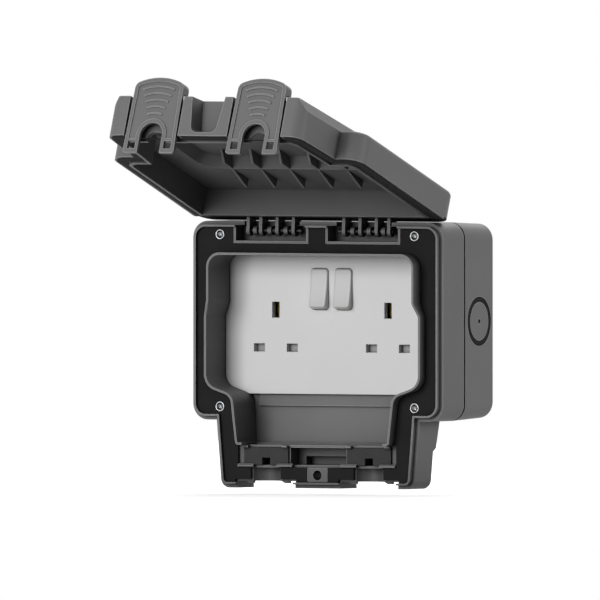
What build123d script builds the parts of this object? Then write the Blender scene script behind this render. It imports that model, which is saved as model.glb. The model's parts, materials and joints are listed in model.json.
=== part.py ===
from build123d import *
import os

# Outdoor twin socket in a hinged weatherproof enclosure. Sizes are in millimetres.
# The origin is the middle of the wall face. X runs to the right seen from the front and Z runs up.
# The front faces -Y, and a height is a distance from the wall towards the front.

# Enclosure body
rim_height = 63.5
body_width = 168.8
body_height = 116.4
body_corner = 9.7
body_wall = 2.3
lip_inset = 2.2
lip_rise = 3.0
lip_wall = 1.1
face_drop = 3.5
face_thickness = 2.5

# Back box
box_height = 34.5
box_lean = 1.3
box_floor = 3.0
box_wall = 2.6
gasket_thickness = 1.5
gasket_inset = 0.8
gasket_width = 2.4
fixing_span_x = 120.0
fixing_span_z = 60.0
fixing_hole = 5.2
knockout_height = 17.0
knockout_outer = 29.0
knockout_disc = 22.8
knockout_groove = 0.9
knockout_dimple = 2.6

# Chin below the body, where the leads leave. Its foot carries the seals and the latch seats
chin_drop = 39.7
chin_margin = 19.2
chin_taper = 0.0835
chin_corner = 5.7
chin_back_rise = 2.4
chin_back_step_rise = 4.4
chin_back_low_rise = 7.5
chin_step_rise = 23.9
chin_step = 2.0

# Well round the socket plate
collar_wall = 1.3
collar_top_margin = 19.0
collar_upper_margin = 15.1
collar_lower_margin = 12.1
collar_shoulder_rise = 5.1
channel_shoulder_drop = 0.8
channel_top_margin = 10.6
channel_foot_margin = 14.0
collar_corner = 8.0
collar_waist_corner = 6.0
collar_shoulder_corner = 9.0
channel_corner = 7.0
channel_foot_corner = 1.5
collar_rise = 7.0
collar_low_rise = 4.4
collar_waist_z = 7.0
collar_waist_half = 4.0
collar_step_half = 3.5
collar_foot_rise = 25.9
collar_sill_drop = 13.5
collar_sill_margin = 3.5
floor_top_drop = 22.7
floor_foot_drop = 19.0
floor_thickness = 2.2
floor_margin = 8.2
apron_margin = 15.2
apron_rise = 1.5
apron_depth = 7.0

# Frame screws
screw_margin_x = 18.7
screw_margin_z = 7.8
screw_shank = 4.0
screw_head = 6.2
screw_head_rise = 2.0
screw_head_round = 0.6
screw_recess = 3.6
screw_recess_wing = 1.0
screw_recess_depth = 1.5
screw_recess_turn = 35.0
screw_bite = 20.0
screw_tip_gap = 1.0
post_diameter = 9.0
seal_thickness = 1.8
mat_gap = 0.3
mat_bay_margin = 1.2

# Fits
running_gap = 0.05
fit_gap = 0.2

# Lid hinge
hinge_margin = 5.4
hinge_drop = 6.2
hinge_share = 0.184
hinge_pin = 3.0
hinge_pin_length = 37.0
knuckle_radius = 3.3
arm_thickness = 2.0
arm_back = 2.5
arm_front = 6.0
arm_root = 0.7
arm_offsets = (-14.0, -3.0, 8.0, 16.5)
lug_offsets = (-8.5, 2.5, 12.25)
lug_radius = 2.6
lug_thickness = 2.4
pocket_width = 47.5
pocket_margin = 11.4
pocket_floor_drop = 11.5
pocket_wall = 1.5
pocket_rim_drop = 1.5
mouth_width = 37.4
lid_open = 110.0

# Cable seals and padlock boss in the chin foot
seal_width = 29.7
seal_top_rise = 23.7
seal_foot_rise = 13.6
seal_floor_drop = 18.5
seal_drop = 2.2
seal_notch_width = 5.5
seal_notch_rise = 4.2
clip_offset = 13.1
clip_width = 10.6
clip_top_width = 3.4
clip_foot = 1.1
clip_crest = 0.9
clip_hook = 1.0
clip_gap = 0.25
clip_drop = 0.5
mid_pocket_web = 1.1
mid_pocket_drop = 13.5
mid_well_inset = 4.8
mid_well_drop = 20.0
saddle_radius = 9.8
saddle_top_rise = 11.9
boss_half = 6.9
boss_rise = 1.5
boss_foot_margin = 3.8
padlock_hole = 5.8
padlock_rise = 7.6

# Latch seats in the chin foot
latch_share = 0.533
latch_bay = 38.7
latch_bay_rise = 4.1
tooth_offset = 12.1
tooth_width = 4.2
tooth_low_drop = 7.1
tooth_high_drop = 3.1
tooth_gap = 0.35

# Latches on the lid
latch_setback = 0.2
latch_plate = 2.2
latch_width = 34.4
latch_tab_width = 32.4
latch_foot_drop = 10.2
latch_tab_rise = 9.6
latch_crown = 3.7
latch_tab_corner = 4.5
latch_leg_corner = 1.5
latch_arch_width = 15.0
latch_arch_rise = 18.6
latch_window_width = 5.0
latch_window_inset = 2.7
latch_window_height = 4.8
latch_border = 2.4
latch_arch_border = 2.6
latch_panel = 0.5
latch_panel_gap = 1.6
latch_rib_count = 5
latch_rib_pitch = 4.1
latch_rib_width = 1.1
latch_rib_first = 13.6
latch_rib_spread = 0.38
latch_pivot_rise = 17.8
latch_pivot_setback = 3.9
latch_pin = 2.2
latch_pin_overhang = 1.5
latch_ear = 2.0
latch_ear_inset = 0.9
latch_ear_radius = 1.9
latch_skirt = 1.8
latch_skirt_gap = 1.9
latch_skirt_depth = 7.0

# Lid
lid_gap = 0.5
lid_depth = 18.1
lid_ceiling = 15.3
lid_land = 9.2
lid_edge = 3.0
lid_foot_corner = 8.2
lid_cavity_corner = 6.0
lid_lip_width = 1.7
lid_lip_drop = 1.4
lid_rear_margin = 16.7
lid_relief = 1.4
lid_relief_margin = 10.2
dome_top_z = 7.8
dome_rise = 6.2
dome_slope = 4.5
dome_slope_rise = 7.0
dome_wall = 2.4
dome_cavity_corner = 12.0
dome_cavity_draft = 30.0
rib_places = (-38.8, -19.4, 0.0, 19.4, 38.8)
rib_thickness = 1.4
rib_reach = 10.0
fin_drop = 5.0
fin_reach = 19.6
latch_pocket_gap = 0.9
latch_pocket_setback = 6.2
scoop_half = 8.2
scoop_flare = 12.3
scoop_corner = 4.0
scoop_depth = 8.5
scoop_draft = 18.0
scoop_rise = 2.3
scoop_wall = 1.8
lead_notch_radius = 6.0

# Socket module
plate_drop = 19.1
plate_thickness = 3.5
plate_top_margin = 14.7
plate_foot_margin = 15.2
plate_gap = 0.9
plate_gasket_thickness = 1.0
plate_gasket_lap = 0.5
module_screw_margin = 6.2
module_screw_z = 25.0
module_screw = 3.0
module_screw_bite = 8.0
module_boss = 6.8
plate_corner = 3.0
outlet_x = 37.9
pin_spread = 11.1
line_z = -16.0
line_slot_width = 7.4
line_slot_height = 4.8
earth_z = 6.2
earth_slot_width = 4.9
earth_slot_height = 9.3

# Switch rockers, which turn in bearings cut into the back of the plate
rocker_x = 8.05
rocker_z = 18.5
rocker_width = 11.3
rocker_radius = 12.6
rocker_face = 4.05
rocker_skirt = 1.4
rocker_drop = 1.8
rocker_tilt = 8.3
rocker_gap = 0.35
trunnion = 2.2
trunnion_reach = 1.5
stem_half = 3.5
stem_reach = 7.0
plunger = 2.6
plunger_reach = 11.0
plunger_gap = 0.35
plunger_seat = 5.0

# Rear moulding, a tray that the contacts lie in
moulding_back = 22.0
moulding_floor = 26.0
moulding_half = 64.2
moulding_top_z = 36.0
moulding_foot_z = -34.0
moulding_wall = 2.0
moulding_post = 6.4
moulding_screw = 2.6
moulding_screw_inset = 5.0
moulding_screw_levels = (-29.0, 31.0)
moulding_screw_bite = 2.4

# Shutters that close the line slots
shutter_thickness = 2.0
shutter_gap = 0.1
shutter_half = 16.4
shutter_top_z = -5.5
shutter_foot_z = -20.0
shutter_travel = 6.0
shutter_tongue = 3.2
shutter_tongue_top = 3.6
shutter_tongue_depth = 5.5
shutter_lug = 2.5
spring_diameter = 4.0
spring_bore = 2.8
rail_offset = 16.25
rail_width = 2.5
rail_top_z = -9.0
rail_foot_z = -21.0

# Brass contacts and terminals
strip = 1.0
blade = 0.8
blade_gap = 3.9
blade_tip = 37.8
bar_width = 5.0
neutral_bar_z = -25.0
live_bar_z = -6.0
live_bar_x = 17.2
live_lift = 1.7
feed_bar_z = 23.5
run_bar_width = 3.0
fixed_contact_z = 26.5
arm_length = 18.0
arm_width = 4.0
arm_tilt = 8.0
arm_pivot_drop = 2.0
arm_pivot_gap = 0.3
terminal_width = 8.0
terminal_depth = 7.0
terminal_back = 21.0
terminal_bore = 3.4
terminal_screw = 3.4
terminal_screw_rise = 1.6
earth_terminal_x = 0.0
neutral_terminal_x = -11.0
feed_terminal_z = 29.0

# Derived heights and places of the enclosure
half_width = body_width / 2
half_height = body_height / 2
shoulder_height = rim_height - lip_rise
face_height = rim_height - face_drop
face_back = face_height - face_thickness
seam_height = box_height + gasket_thickness
lip_inner = lip_inset + lip_wall
screw_x = half_width - screw_margin_x
screw_z = half_height - screw_margin_z
screw_places = [(x, z) for x in (-screw_x, screw_x) for z in (-screw_z, screw_z)]
hinge_x = hinge_share * body_width
hinge_z = half_height - hinge_margin
hinge_height = rim_height - hinge_drop
pocket_top_z = half_height - body_wall
pocket_foot_z = half_height - pocket_margin
pocket_floor_height = rim_height - pocket_floor_drop
plate_top_z = half_height - plate_top_margin
plate_foot_z = plate_foot_margin - half_height
plate_height = rim_height - plate_drop
plate_back = plate_height - plate_thickness
well_end = plate_height + plate_gasket_thickness

# Derived places of the chin, the well and the lead channel
chin_reach = half_height + chin_drop
chin_foot_half = half_width - chin_margin
chin_step_z = chin_step_rise - chin_reach
chin_back_top = box_height + chin_back_rise
chin_back_step = box_height + chin_back_step_rise
chin_back_low = box_height + chin_back_low_rise
collar_height = rim_height + collar_rise
collar_low_height = rim_height + collar_low_rise
collar_sill_height = rim_height - collar_sill_drop
collar_upper_half = half_width - collar_upper_margin
collar_lower_half = half_width - collar_lower_margin
collar_shoulder_z = plate_foot_z + collar_shoulder_rise
collar_foot_z = collar_foot_rise - chin_reach
channel_top_half = chin_foot_half - channel_top_margin
channel_foot_half = chin_foot_half - channel_foot_margin
floor_top_height = rim_height - floor_top_drop
floor_foot_height = rim_height - floor_foot_drop
apron_foot_z = plate_foot_z - apron_depth

# Derived places of the latches and of what lies under them in the chin foot
latch_x = latch_share * chin_foot_half
latch_face_z = latch_setback - chin_reach
latch_bay_z = latch_bay_rise - chin_reach
tooth_low = rim_height - tooth_low_drop
tooth_high = rim_height - tooth_high_drop
tooth_tip_z = latch_face_z + latch_plate + tooth_gap
tooth_places = [side * latch_x + offset for side in (-1, 1) for offset in (-tooth_offset, tooth_offset)]
seal_top_z = seal_top_rise - chin_reach
seal_foot_z = seal_foot_rise - chin_reach
seal_middle_z = (seal_top_z + seal_foot_z) / 2
seal_height = rim_height - seal_drop
seal_floor_height = rim_height - seal_floor_drop
clip_height = rim_height - clip_drop
clip_places = [side * latch_x + offset for side in (-1, 1) for offset in (-clip_offset, clip_offset)]
mid_pocket_half = latch_x - seal_width / 2 - mid_pocket_web
mid_pocket_height = rim_height - mid_pocket_drop
mid_well_half = mid_pocket_half - mid_well_inset
mid_well_height = rim_height - mid_well_drop
saddle_top_z = saddle_top_rise - chin_reach
padlock_z = padlock_rise - chin_reach

# Derived places of the socket module
module_screw_x = half_width - module_screw_margin
module_screw_places = [
    (x, z)
    for x in (-module_screw_x, module_screw_x)
    for z in (-module_screw_z, module_screw_z)
]
moulding_screw_x = moulding_half - moulding_screw_inset
rocker_height = plate_height - rocker_drop
arm_height = rocker_height - plunger_reach - plunger_gap
shutter_front = plate_back - shutter_gap
shutter_back = shutter_front - shutter_thickness
shutter_window_z = line_z + shutter_travel
terminal_places = [(earth_terminal_x, earth_z), (neutral_terminal_x, neutral_bar_z), (0, feed_terminal_z)]


def at_height(height):
    """Plane parallel to the wall, drawn in X and Z, with its normal towards the front."""
    return Plane.XZ.offset(height)


def chin_half(z):
    """Half width of the chin's outside at a level."""
    return chin_foot_half + (z + chin_reach) * chin_taper


def enclosure_outline(inset, corner, foot_corner):
    """Front outline of frame and lid: the body's rounded rectangle joined to the tapering chin."""
    foot_z = inset - chin_reach
    with BuildSketch() as outline:
        Polygon(
            (chin_half(0) - inset, 0),
            (inset - chin_half(0), 0),
            (inset - chin_half(foot_z), foot_z),
            (chin_half(foot_z) - inset, foot_z),
            align=None,
        )
        fillet(outline.vertices().group_by(Axis.Y)[0], foot_corner)
        RectangleRounded(body_width - 2 * inset, body_height - 2 * inset, corner)
    return outline.sketch


def collar_outline(grow):
    """Outline of the well: wide below the switches, waisted, and drawn in to the lead channel."""
    corners = [
        (collar_upper_half, half_height - collar_top_margin, collar_corner),
        (collar_upper_half, collar_waist_z + collar_waist_half, collar_waist_corner),
        (collar_lower_half, collar_waist_z - collar_waist_half, collar_waist_corner),
        (collar_lower_half, collar_shoulder_z, collar_shoulder_corner),
        (channel_top_half, plate_foot_z - channel_shoulder_drop, channel_corner),
        (channel_foot_half, collar_foot_z, channel_foot_corner),
    ]
    right = [(x, z) for x, z, radius in corners]
    left = [(-x, z) for x, z in reversed(right)]
    radii = [radius for x, z, radius in corners]
    with BuildSketch() as outline:
        with BuildLine():
            FilletPolyline(*right, *left, radius=radii + radii[::-1], close=True)
        make_face()
        offset(amount=grow, mode=Mode.REPLACE)
    return outline.sketch


def frame_outline(inset):
    """Outline of the front frame, set in with its corners kept parallel."""
    return enclosure_outline(inset, body_corner - inset, chin_corner - inset)


collar_outside = collar_outline(collar_wall / 2)
collar_inside = collar_outline(-collar_wall / 2)

os.makedirs("parts", exist_ok=True)


# Drafted wall box with a floor, screw posts, fixing holes and a knock-out in each side
box_side_lean = (box_lean * knockout_height) / box_height
with BuildPart() as back_box:
    with BuildSketch(at_height(0)):
        RectangleRounded(body_width - 2 * box_lean, body_height - 2 * box_lean, body_corner)
    with BuildSketch(at_height(box_height)):
        RectangleRounded(body_width, body_height, body_corner)
    loft()
    cavity_lean = box_lean * (1 - box_floor / box_height) + box_wall
    with BuildSketch(at_height(box_floor)):
        RectangleRounded(body_width - 2 * cavity_lean, body_height - 2 * cavity_lean, body_corner - box_wall)
    with BuildSketch(at_height(box_height)):
        RectangleRounded(body_width - 2 * box_wall, body_height - 2 * box_wall, body_corner - box_wall)
    loft(mode=Mode.SUBTRACT)
    with BuildSketch(at_height(box_floor)):
        with Locations(*screw_places):
            Circle(post_diameter / 2)
    extrude(amount=box_height - box_floor)
    with BuildSketch(at_height(box_height)):
        with Locations(*screw_places):
            Circle(screw_shank / 2 + running_gap)
    extrude(amount=-screw_bite, mode=Mode.SUBTRACT)
    with BuildSketch(at_height(0)):
        with GridLocations(fixing_span_x, fixing_span_z, 2, 2):
            Circle(fixing_hole / 2)
    extrude(amount=box_floor, mode=Mode.SUBTRACT)
    for side in (-1, 1):
        knockout_plane = Plane(
            origin=(side * (body_width / 2 - box_lean + box_side_lean), -knockout_height, 0),
            x_dir=(0, 0, 1),
            z_dir=(side * box_height, box_lean, 0),
        )
        with BuildSketch(knockout_plane):
            Circle(knockout_outer / 2)
            Circle(knockout_disc / 2, mode=Mode.SUBTRACT)
            Circle(knockout_dimple / 2)
        extrude(amount=-knockout_groove, mode=Mode.SUBTRACT)
back_box.part.label = "back_box"
export_step(back_box.part, "parts/back_box.step")


# Seal in the seam, set in a little from the walls
gasket_length = body_width - 2 * gasket_inset
gasket_height = body_height - 2 * gasket_inset
with BuildPart() as box_gasket:
    with BuildSketch(at_height(box_height)):
        RectangleRounded(gasket_length, gasket_height, body_corner - gasket_inset)
        offset(amount=-gasket_width, mode=Mode.SUBTRACT)
    extrude(amount=gasket_thickness)
box_gasket.part.label = "box_gasket"
export_step(box_gasket.part, "parts/box_gasket.step")


# Moulded front frame: outer wall and lip, well collar, lead channel, hinge pockets and chin foot
pocket_places = [(-hinge_x, 0), (hinge_x, 0)]
pocket_rim_height = rim_height - pocket_rim_drop
chin_cavity_foot = collar_foot_z + body_wall
bay_depth = chin_reach + latch_bay_z
foot_depth = face_height - chin_back_low
with BuildPart() as front_frame:
    with BuildSketch(at_height(seam_height)):
        add(frame_outline(0))
    extrude(amount=shoulder_height - seam_height)
    with BuildSketch(at_height(shoulder_height)):
        add(frame_outline(lip_inset))
    extrude(amount=lip_rise)
    with BuildSketch(Plane.YZ):
        Polygon(
            (-seam_height, -half_height),
            (-chin_back_top, -half_height),
            (-chin_back_step, chin_step_z),
            (-chin_back_low, chin_step_z - chin_step),
            (-chin_back_low, -chin_reach),
            (-seam_height, -chin_reach),
            align=None,
        )
    extrude(amount=body_width, both=True, mode=Mode.SUBTRACT)
    with BuildSketch(at_height(seam_height)):
        RectangleRounded(body_width - 2 * body_wall, body_height - 2 * body_wall, body_corner - body_wall)
        Polygon(
            (chin_half(-half_height) - body_wall, -half_height),
            (body_wall - chin_half(-half_height), -half_height),
            (body_wall - chin_half(chin_cavity_foot), chin_cavity_foot),
            (chin_half(chin_cavity_foot) - body_wall, chin_cavity_foot),
            align=None,
        )
    extrude(amount=face_back - seam_height, mode=Mode.SUBTRACT)
    with BuildSketch(at_height(face_height)):
        add(frame_outline(lip_inner))
    extrude(amount=face_drop, mode=Mode.SUBTRACT)

    # Collar, cut lower below the waist, with walls down to the channel floor
    with BuildSketch(at_height(well_end)):
        add(collar_outside)
    extrude(amount=collar_height - well_end)
    with BuildSketch(at_height(floor_top_height - floor_thickness)):
        add(collar_outside)
        with Locations((0, plate_foot_z + body_height)):
            Rectangle(body_width, 2 * body_height, mode=Mode.SUBTRACT)
    extrude(amount=well_end - floor_top_height + floor_thickness)
    with BuildSketch(Plane.YZ):
        Polygon(
            (-collar_low_height, collar_foot_z - collar_wall),
            (-collar_low_height, collar_waist_z - collar_step_half),
            (-collar_height, collar_waist_z + collar_step_half),
            (-collar_height, collar_foot_z - collar_wall),
            align=None,
        )
    extrude(amount=body_width, both=True, mode=Mode.SUBTRACT)
    with BuildSketch(at_height(seam_height)):
        add(collar_inside)
    extrude(amount=collar_height - seam_height, mode=Mode.SUBTRACT)
    with BuildSketch(Plane.YZ):
        Polygon(
            (-floor_top_height, plate_foot_z),
            (-floor_foot_height, collar_foot_z),
            (-floor_foot_height + floor_thickness, collar_foot_z),
            (-floor_top_height + floor_thickness, plate_foot_z),
            align=None,
        )
    extrude(amount=chin_foot_half - floor_margin, both=True)
    apron_foot_height = floor_top_height + (floor_foot_height - floor_top_height) * (
        (plate_foot_z - apron_foot_z) / (plate_foot_z - collar_foot_z)
    )
    with BuildSketch(Plane.YZ):
        Polygon(
            (-floor_top_height, plate_foot_z),
            (-floor_top_height - apron_rise, plate_foot_z),
            (-apron_foot_height - apron_rise, apron_foot_z),
            (-apron_foot_height, apron_foot_z),
            align=None,
        )
    extrude(amount=chin_foot_half - apron_margin, both=True)
    with BuildSketch(at_height(collar_sill_height)):
        with Locations((0, collar_foot_z)):
            Rectangle(2 * (channel_foot_half - collar_sill_margin), collar_wall)
    extrude(amount=collar_low_height - collar_sill_height, mode=Mode.SUBTRACT)

    # Hinge pockets with their rims, open through the top wall, and lugs for the pins
    with BuildSketch(at_height(pocket_floor_height - pocket_wall)):
        with Locations(*pocket_places):
            with Locations((0, (pocket_foot_z - pocket_wall + pocket_top_z) / 2)):
                Rectangle(pocket_width + 2 * pocket_wall, pocket_top_z - pocket_foot_z + pocket_wall)
    extrude(amount=pocket_rim_height - pocket_floor_height + pocket_wall)
    with BuildSketch(at_height(pocket_floor_height)):
        with Locations(*pocket_places):
            with Locations((0, (pocket_foot_z + pocket_top_z) / 2)):
                Rectangle(pocket_width, pocket_top_z - pocket_foot_z)
            with Locations((0, pocket_top_z)):
                Rectangle(mouth_width, 2 * body_wall)
    extrude(amount=rim_height - pocket_floor_height, mode=Mode.SUBTRACT)
    for centre in (-hinge_x, hinge_x):
        for lug in lug_offsets:
            lug_x = centre + lug * (1 if centre > 0 else -1)
            with BuildSketch(Plane.YZ.offset(lug_x - lug_thickness / 2)):
                with Locations((-hinge_height, hinge_z)):
                    Circle(lug_radius)
                with Locations((-(pocket_floor_height + hinge_height) / 2, hinge_z)):
                    Rectangle(hinge_height - pocket_floor_height, 2 * lug_radius)
                with Locations((-hinge_height, hinge_z)):
                    Circle(hinge_pin / 2 + running_gap, mode=Mode.SUBTRACT)
            extrude(amount=lug_thickness)

    # Screw posts and the bosses that the socket plate is held against
    with BuildSketch(at_height(seam_height)):
        with Locations(*screw_places):
            Circle(post_diameter / 2)
    extrude(amount=face_back - seam_height)
    with BuildSketch(at_height(seam_height)):
        with Locations(*screw_places):
            Circle(screw_shank / 2 + running_gap)
    extrude(amount=face_height - seam_height, mode=Mode.SUBTRACT)
    with BuildSketch(at_height(plate_height)):
        with Locations(*module_screw_places):
            Circle(module_boss / 2)
    extrude(amount=face_back - plate_height)
    with BuildSketch(at_height(plate_height)):
        with Locations(*module_screw_places):
            Circle(module_screw / 2 + running_gap)
    extrude(amount=module_screw_bite, mode=Mode.SUBTRACT)

    # Chin foot: seal seats, middle pocket, lead saddles, padlock boss and latch bays with teeth
    with BuildSketch(at_height(seal_floor_height)):
        with Locations((-latch_x, seal_middle_z), (latch_x, seal_middle_z)):
            Rectangle(seal_width + 2 * fit_gap, seal_top_z - seal_foot_z + 2 * fit_gap)
    extrude(amount=rim_height - seal_floor_height, mode=Mode.SUBTRACT)
    with BuildSketch(at_height(mid_pocket_height)):
        with Locations((0, seal_middle_z)):
            Rectangle(2 * mid_pocket_half, seal_top_z - seal_foot_z)
    extrude(amount=rim_height - mid_pocket_height, mode=Mode.SUBTRACT)
    with BuildSketch(at_height(mid_well_height)):
        with Locations((0, (seal_middle_z + seal_foot_z) / 2)):
            Rectangle(2 * mid_well_half, (seal_top_z - seal_foot_z) / 2)
    extrude(amount=rim_height - mid_well_height, mode=Mode.SUBTRACT)
    with BuildSketch(Plane.XY.offset(-chin_reach)):
        with Locations((-latch_x, -rim_height), (latch_x, -rim_height)):
            Circle(saddle_radius)
    extrude(amount=chin_reach + saddle_top_z, mode=Mode.SUBTRACT)
    with BuildSketch(at_height(face_height)):
        with Locations((0, (saddle_top_z + boss_foot_margin - chin_reach) / 2)):
            Rectangle(2 * boss_half, chin_reach + saddle_top_z - boss_foot_margin)
    extrude(amount=boss_rise)
    with BuildSketch(at_height(chin_back_low)):
        with Locations((0, padlock_z)):
            Circle(padlock_hole / 2)
    extrude(amount=foot_depth + boss_rise, mode=Mode.SUBTRACT)
    with BuildSketch(at_height(chin_back_low)):
        with Locations((-latch_x, latch_bay_z - bay_depth / 2), (latch_x, latch_bay_z - bay_depth / 2)):
            Rectangle(latch_bay, bay_depth)
    extrude(amount=rim_height - chin_back_low, mode=Mode.SUBTRACT)
    for tooth_x in tooth_places:
        with BuildSketch(Plane.YZ.offset(tooth_x - tooth_width / 2)):
            Polygon(
                (-tooth_low, latch_bay_z),
                (-tooth_low, tooth_tip_z),
                (-tooth_high, latch_bay_z),
                align=None,
            )
        extrude(amount=tooth_width)

    # Hooked clips over the corners of the cable seals, wide ones below and narrow ones above
    hook_height = seal_height + clip_gap
    for clip_x in clip_places:
        for clip_z, away, width in (
            (seal_foot_z - fit_gap, -1, clip_width),
            (seal_top_z + fit_gap, 1, clip_top_width),
        ):
            with BuildSketch(Plane.YZ.offset(clip_x - width / 2)):
                Polygon(
                    (-face_height, clip_z),
                    (-hook_height, clip_z),
                    (-hook_height, clip_z - away * clip_hook),
                    (-clip_height, clip_z),
                    (-clip_height, clip_z + away * clip_crest),
                    (-face_height, clip_z + away * clip_foot),
                    align=None,
                )
            extrude(amount=width)
front_frame.part.label = "front_frame"
export_step(front_frame.part, "parts/front_frame.step")


# Rubber mat on the frame's face, cut round the collar, the hinge pockets, the screws and the chin foot
pocket_clear_width = pocket_width + 2 * (pocket_wall + fit_gap)
pocket_clear_foot = pocket_foot_z - pocket_wall - fit_gap
bay_clear_z = latch_bay_z + mat_bay_margin
foot_clear_top = collar_foot_z - collar_wall / 2
foot_clear_foot = seal_foot_z - clip_foot - mat_gap
foot_clear_half = latch_x + clip_offset + clip_width / 2 + mat_gap
with BuildPart() as face_seal:
    with BuildSketch(at_height(face_height)):
        add(frame_outline(lip_inner + fit_gap))
        add(collar_outline(collar_wall / 2 + fit_gap), mode=Mode.SUBTRACT)
        with Locations(*[(x, pocket_clear_foot + half_height / 2) for x, z in pocket_places]):
            Rectangle(pocket_clear_width, half_height, mode=Mode.SUBTRACT)
        with Locations(*screw_places):
            Circle(screw_head / 2 + fit_gap, mode=Mode.SUBTRACT)
        with Locations((0, (foot_clear_top + foot_clear_foot) / 2)):
            Rectangle(2 * foot_clear_half, foot_clear_top - foot_clear_foot, mode=Mode.SUBTRACT)
        with Locations((-latch_x, bay_clear_z - bay_depth), (latch_x, bay_clear_z - bay_depth)):
            Rectangle(latch_bay + 2 * mat_bay_margin, 2 * bay_depth, mode=Mode.SUBTRACT)
        with Locations((-latch_x, saddle_top_z), (latch_x, saddle_top_z)):
            Rectangle(2 * (saddle_radius + mat_gap), 2 * (saddle_top_z - bay_clear_z), mode=Mode.SUBTRACT)
        with Locations((0, foot_clear_foot - chin_reach / 2)):
            Rectangle(2 * (boss_half + fit_gap), chin_reach, mode=Mode.SUBTRACT)
    extrude(amount=seal_thickness)
face_seal.part.label = "face_seal"
export_step(face_seal.part, "parts/face_seal.step")


# Cross-recess screws from the face into the posts of the back box
with BuildPart() as frame_screws:
    with BuildSketch(at_height(face_height)):
        with Locations(*screw_places):
            Circle(screw_head / 2)
    extrude(amount=screw_head_rise)
    fillet(frame_screws.faces().sort_by(Axis.Y)[:len(screw_places)].edges(), screw_head_round)
    with BuildSketch(at_height(face_height)):
        with Locations(*screw_places):
            Circle(screw_shank / 2)
    extrude(amount=-(face_height - box_height + screw_bite - screw_tip_gap))
    with BuildSketch(at_height(face_height + screw_head_rise)):
        with Locations(*screw_places):
            Rectangle(screw_recess, screw_recess_wing, rotation=screw_recess_turn)
            Rectangle(screw_recess_wing, screw_recess, rotation=screw_recess_turn)
            Circle(screw_recess_wing)
    extrude(amount=-screw_recess_depth, mode=Mode.SUBTRACT)
frame_screws.part.label = "frame_screws"
export_step(frame_screws.part, "parts/frame_screws.step")


def export_hinge_pin(name, centre_x):
    """Plain steel pin through the lugs of one hinge pocket and the lid's arms."""
    with BuildPart() as hinge_pin_part:
        with BuildSketch(Plane.YZ.offset(centre_x - hinge_pin_length / 2)):
            with Locations((-hinge_height, hinge_z)):
                Circle(hinge_pin / 2)
        extrude(amount=hinge_pin_length)
    hinge_pin_part.part.label = name
    export_step(hinge_pin_part.part, f"parts/{name}.step")


def export_cable_seal(name, centre_x):
    """Rubber block in the chin foot, notched at its foot for the lead."""
    with BuildPart() as cable_seal:
        with BuildSketch(at_height(seal_floor_height)):
            with Locations((centre_x, seal_middle_z)):
                Rectangle(seal_width, seal_top_z - seal_foot_z)
            with Locations((centre_x, seal_foot_z + seal_notch_rise / 2)):
                Rectangle(seal_notch_width, seal_notch_rise, mode=Mode.SUBTRACT)
        extrude(amount=seal_height - seal_floor_height)
    cable_seal.part.label = name
    export_step(cable_seal.part, f"parts/{name}.step")


for side_name, side in (("left", -1), ("right", 1)):
    export_hinge_pin(f"hinge_pin_{side_name}", side * hinge_x)
    export_cable_seal(f"cable_seal_{side_name}", side * latch_x)


# Front plate of the socket with pin slots, rocker openings and bearings for the rockers
plate_width = body_width - 2 * (body_wall + plate_gap)
plate_middle_z = (plate_top_z + plate_foot_z) / 2
rocker_places = [(-rocker_x, rocker_z), (rocker_x, rocker_z)]
line_slots = [(side * outlet_x + spread, line_z) for side in (-1, 1) for spread in (-pin_spread, pin_spread)]
earth_slots = [(-outlet_x, earth_z), (outlet_x, earth_z)]
moulding_screw_places = [
    (x, z)
    for x in (-moulding_screw_x, moulding_screw_x)
    for z in moulding_screw_levels
]
with BuildPart() as socket_plate:
    with BuildSketch(at_height(plate_back)):
        with Locations((0, plate_middle_z)):
            RectangleRounded(plate_width, plate_top_z - plate_foot_z, plate_corner)
        with Locations(*line_slots):
            Rectangle(line_slot_width, line_slot_height, mode=Mode.SUBTRACT)
        with Locations(*earth_slots):
            Rectangle(earth_slot_width, earth_slot_height, mode=Mode.SUBTRACT)
        with Locations(*rocker_places):
            Rectangle(rocker_width + 2 * rocker_gap, 2 * (rocker_radius + rocker_gap), mode=Mode.SUBTRACT)
        with Locations(*module_screw_places):
            Circle(module_screw / 2 + running_gap, mode=Mode.SUBTRACT)
    extrude(amount=plate_thickness)
    with BuildSketch(at_height(plate_back)):
        with Locations(*rocker_places):
            Rectangle(rocker_width + 2 * trunnion_reach + 2 * fit_gap, trunnion + 2 * running_gap)
    extrude(amount=rocker_height - plate_back + trunnion / 2 + running_gap, mode=Mode.SUBTRACT)
    with BuildSketch(at_height(plate_back)):
        with Locations(*moulding_screw_places):
            Circle(moulding_screw / 2 + running_gap)
    extrude(amount=moulding_screw_bite, mode=Mode.SUBTRACT)
socket_plate.part.label = "socket_plate"
export_step(socket_plate.part, "parts/socket_plate.step")


# Seal between the plate and the end of the well wall, open at the lead channel
with BuildPart() as plate_gasket:
    with BuildSketch(at_height(plate_height)):
        add(collar_outline(collar_wall / 2 + plate_gasket_lap))
        add(collar_inside, mode=Mode.SUBTRACT)
        with Locations((0, plate_foot_z - body_height / 2)):
            Rectangle(body_width, body_height, mode=Mode.SUBTRACT)
    extrude(amount=plate_gasket_thickness)
plate_gasket.part.label = "plate_gasket"
export_step(plate_gasket.part, "parts/plate_gasket.step")


# Screws from behind that clamp the plate to the frame, and those that hold the rear moulding
with BuildPart() as module_screws:
    with BuildSketch(at_height(plate_back)):
        with Locations(*module_screw_places):
            Circle(module_screw)
    extrude(amount=-module_screw * 2 / 3)
    with BuildSketch(at_height(plate_back)):
        with Locations(*module_screw_places):
            Circle(module_screw / 2)
    extrude(amount=plate_thickness + module_screw_bite - screw_tip_gap)
module_screws.part.label = "module_screws"
export_step(module_screws.part, "parts/module_screws.step")

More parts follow.
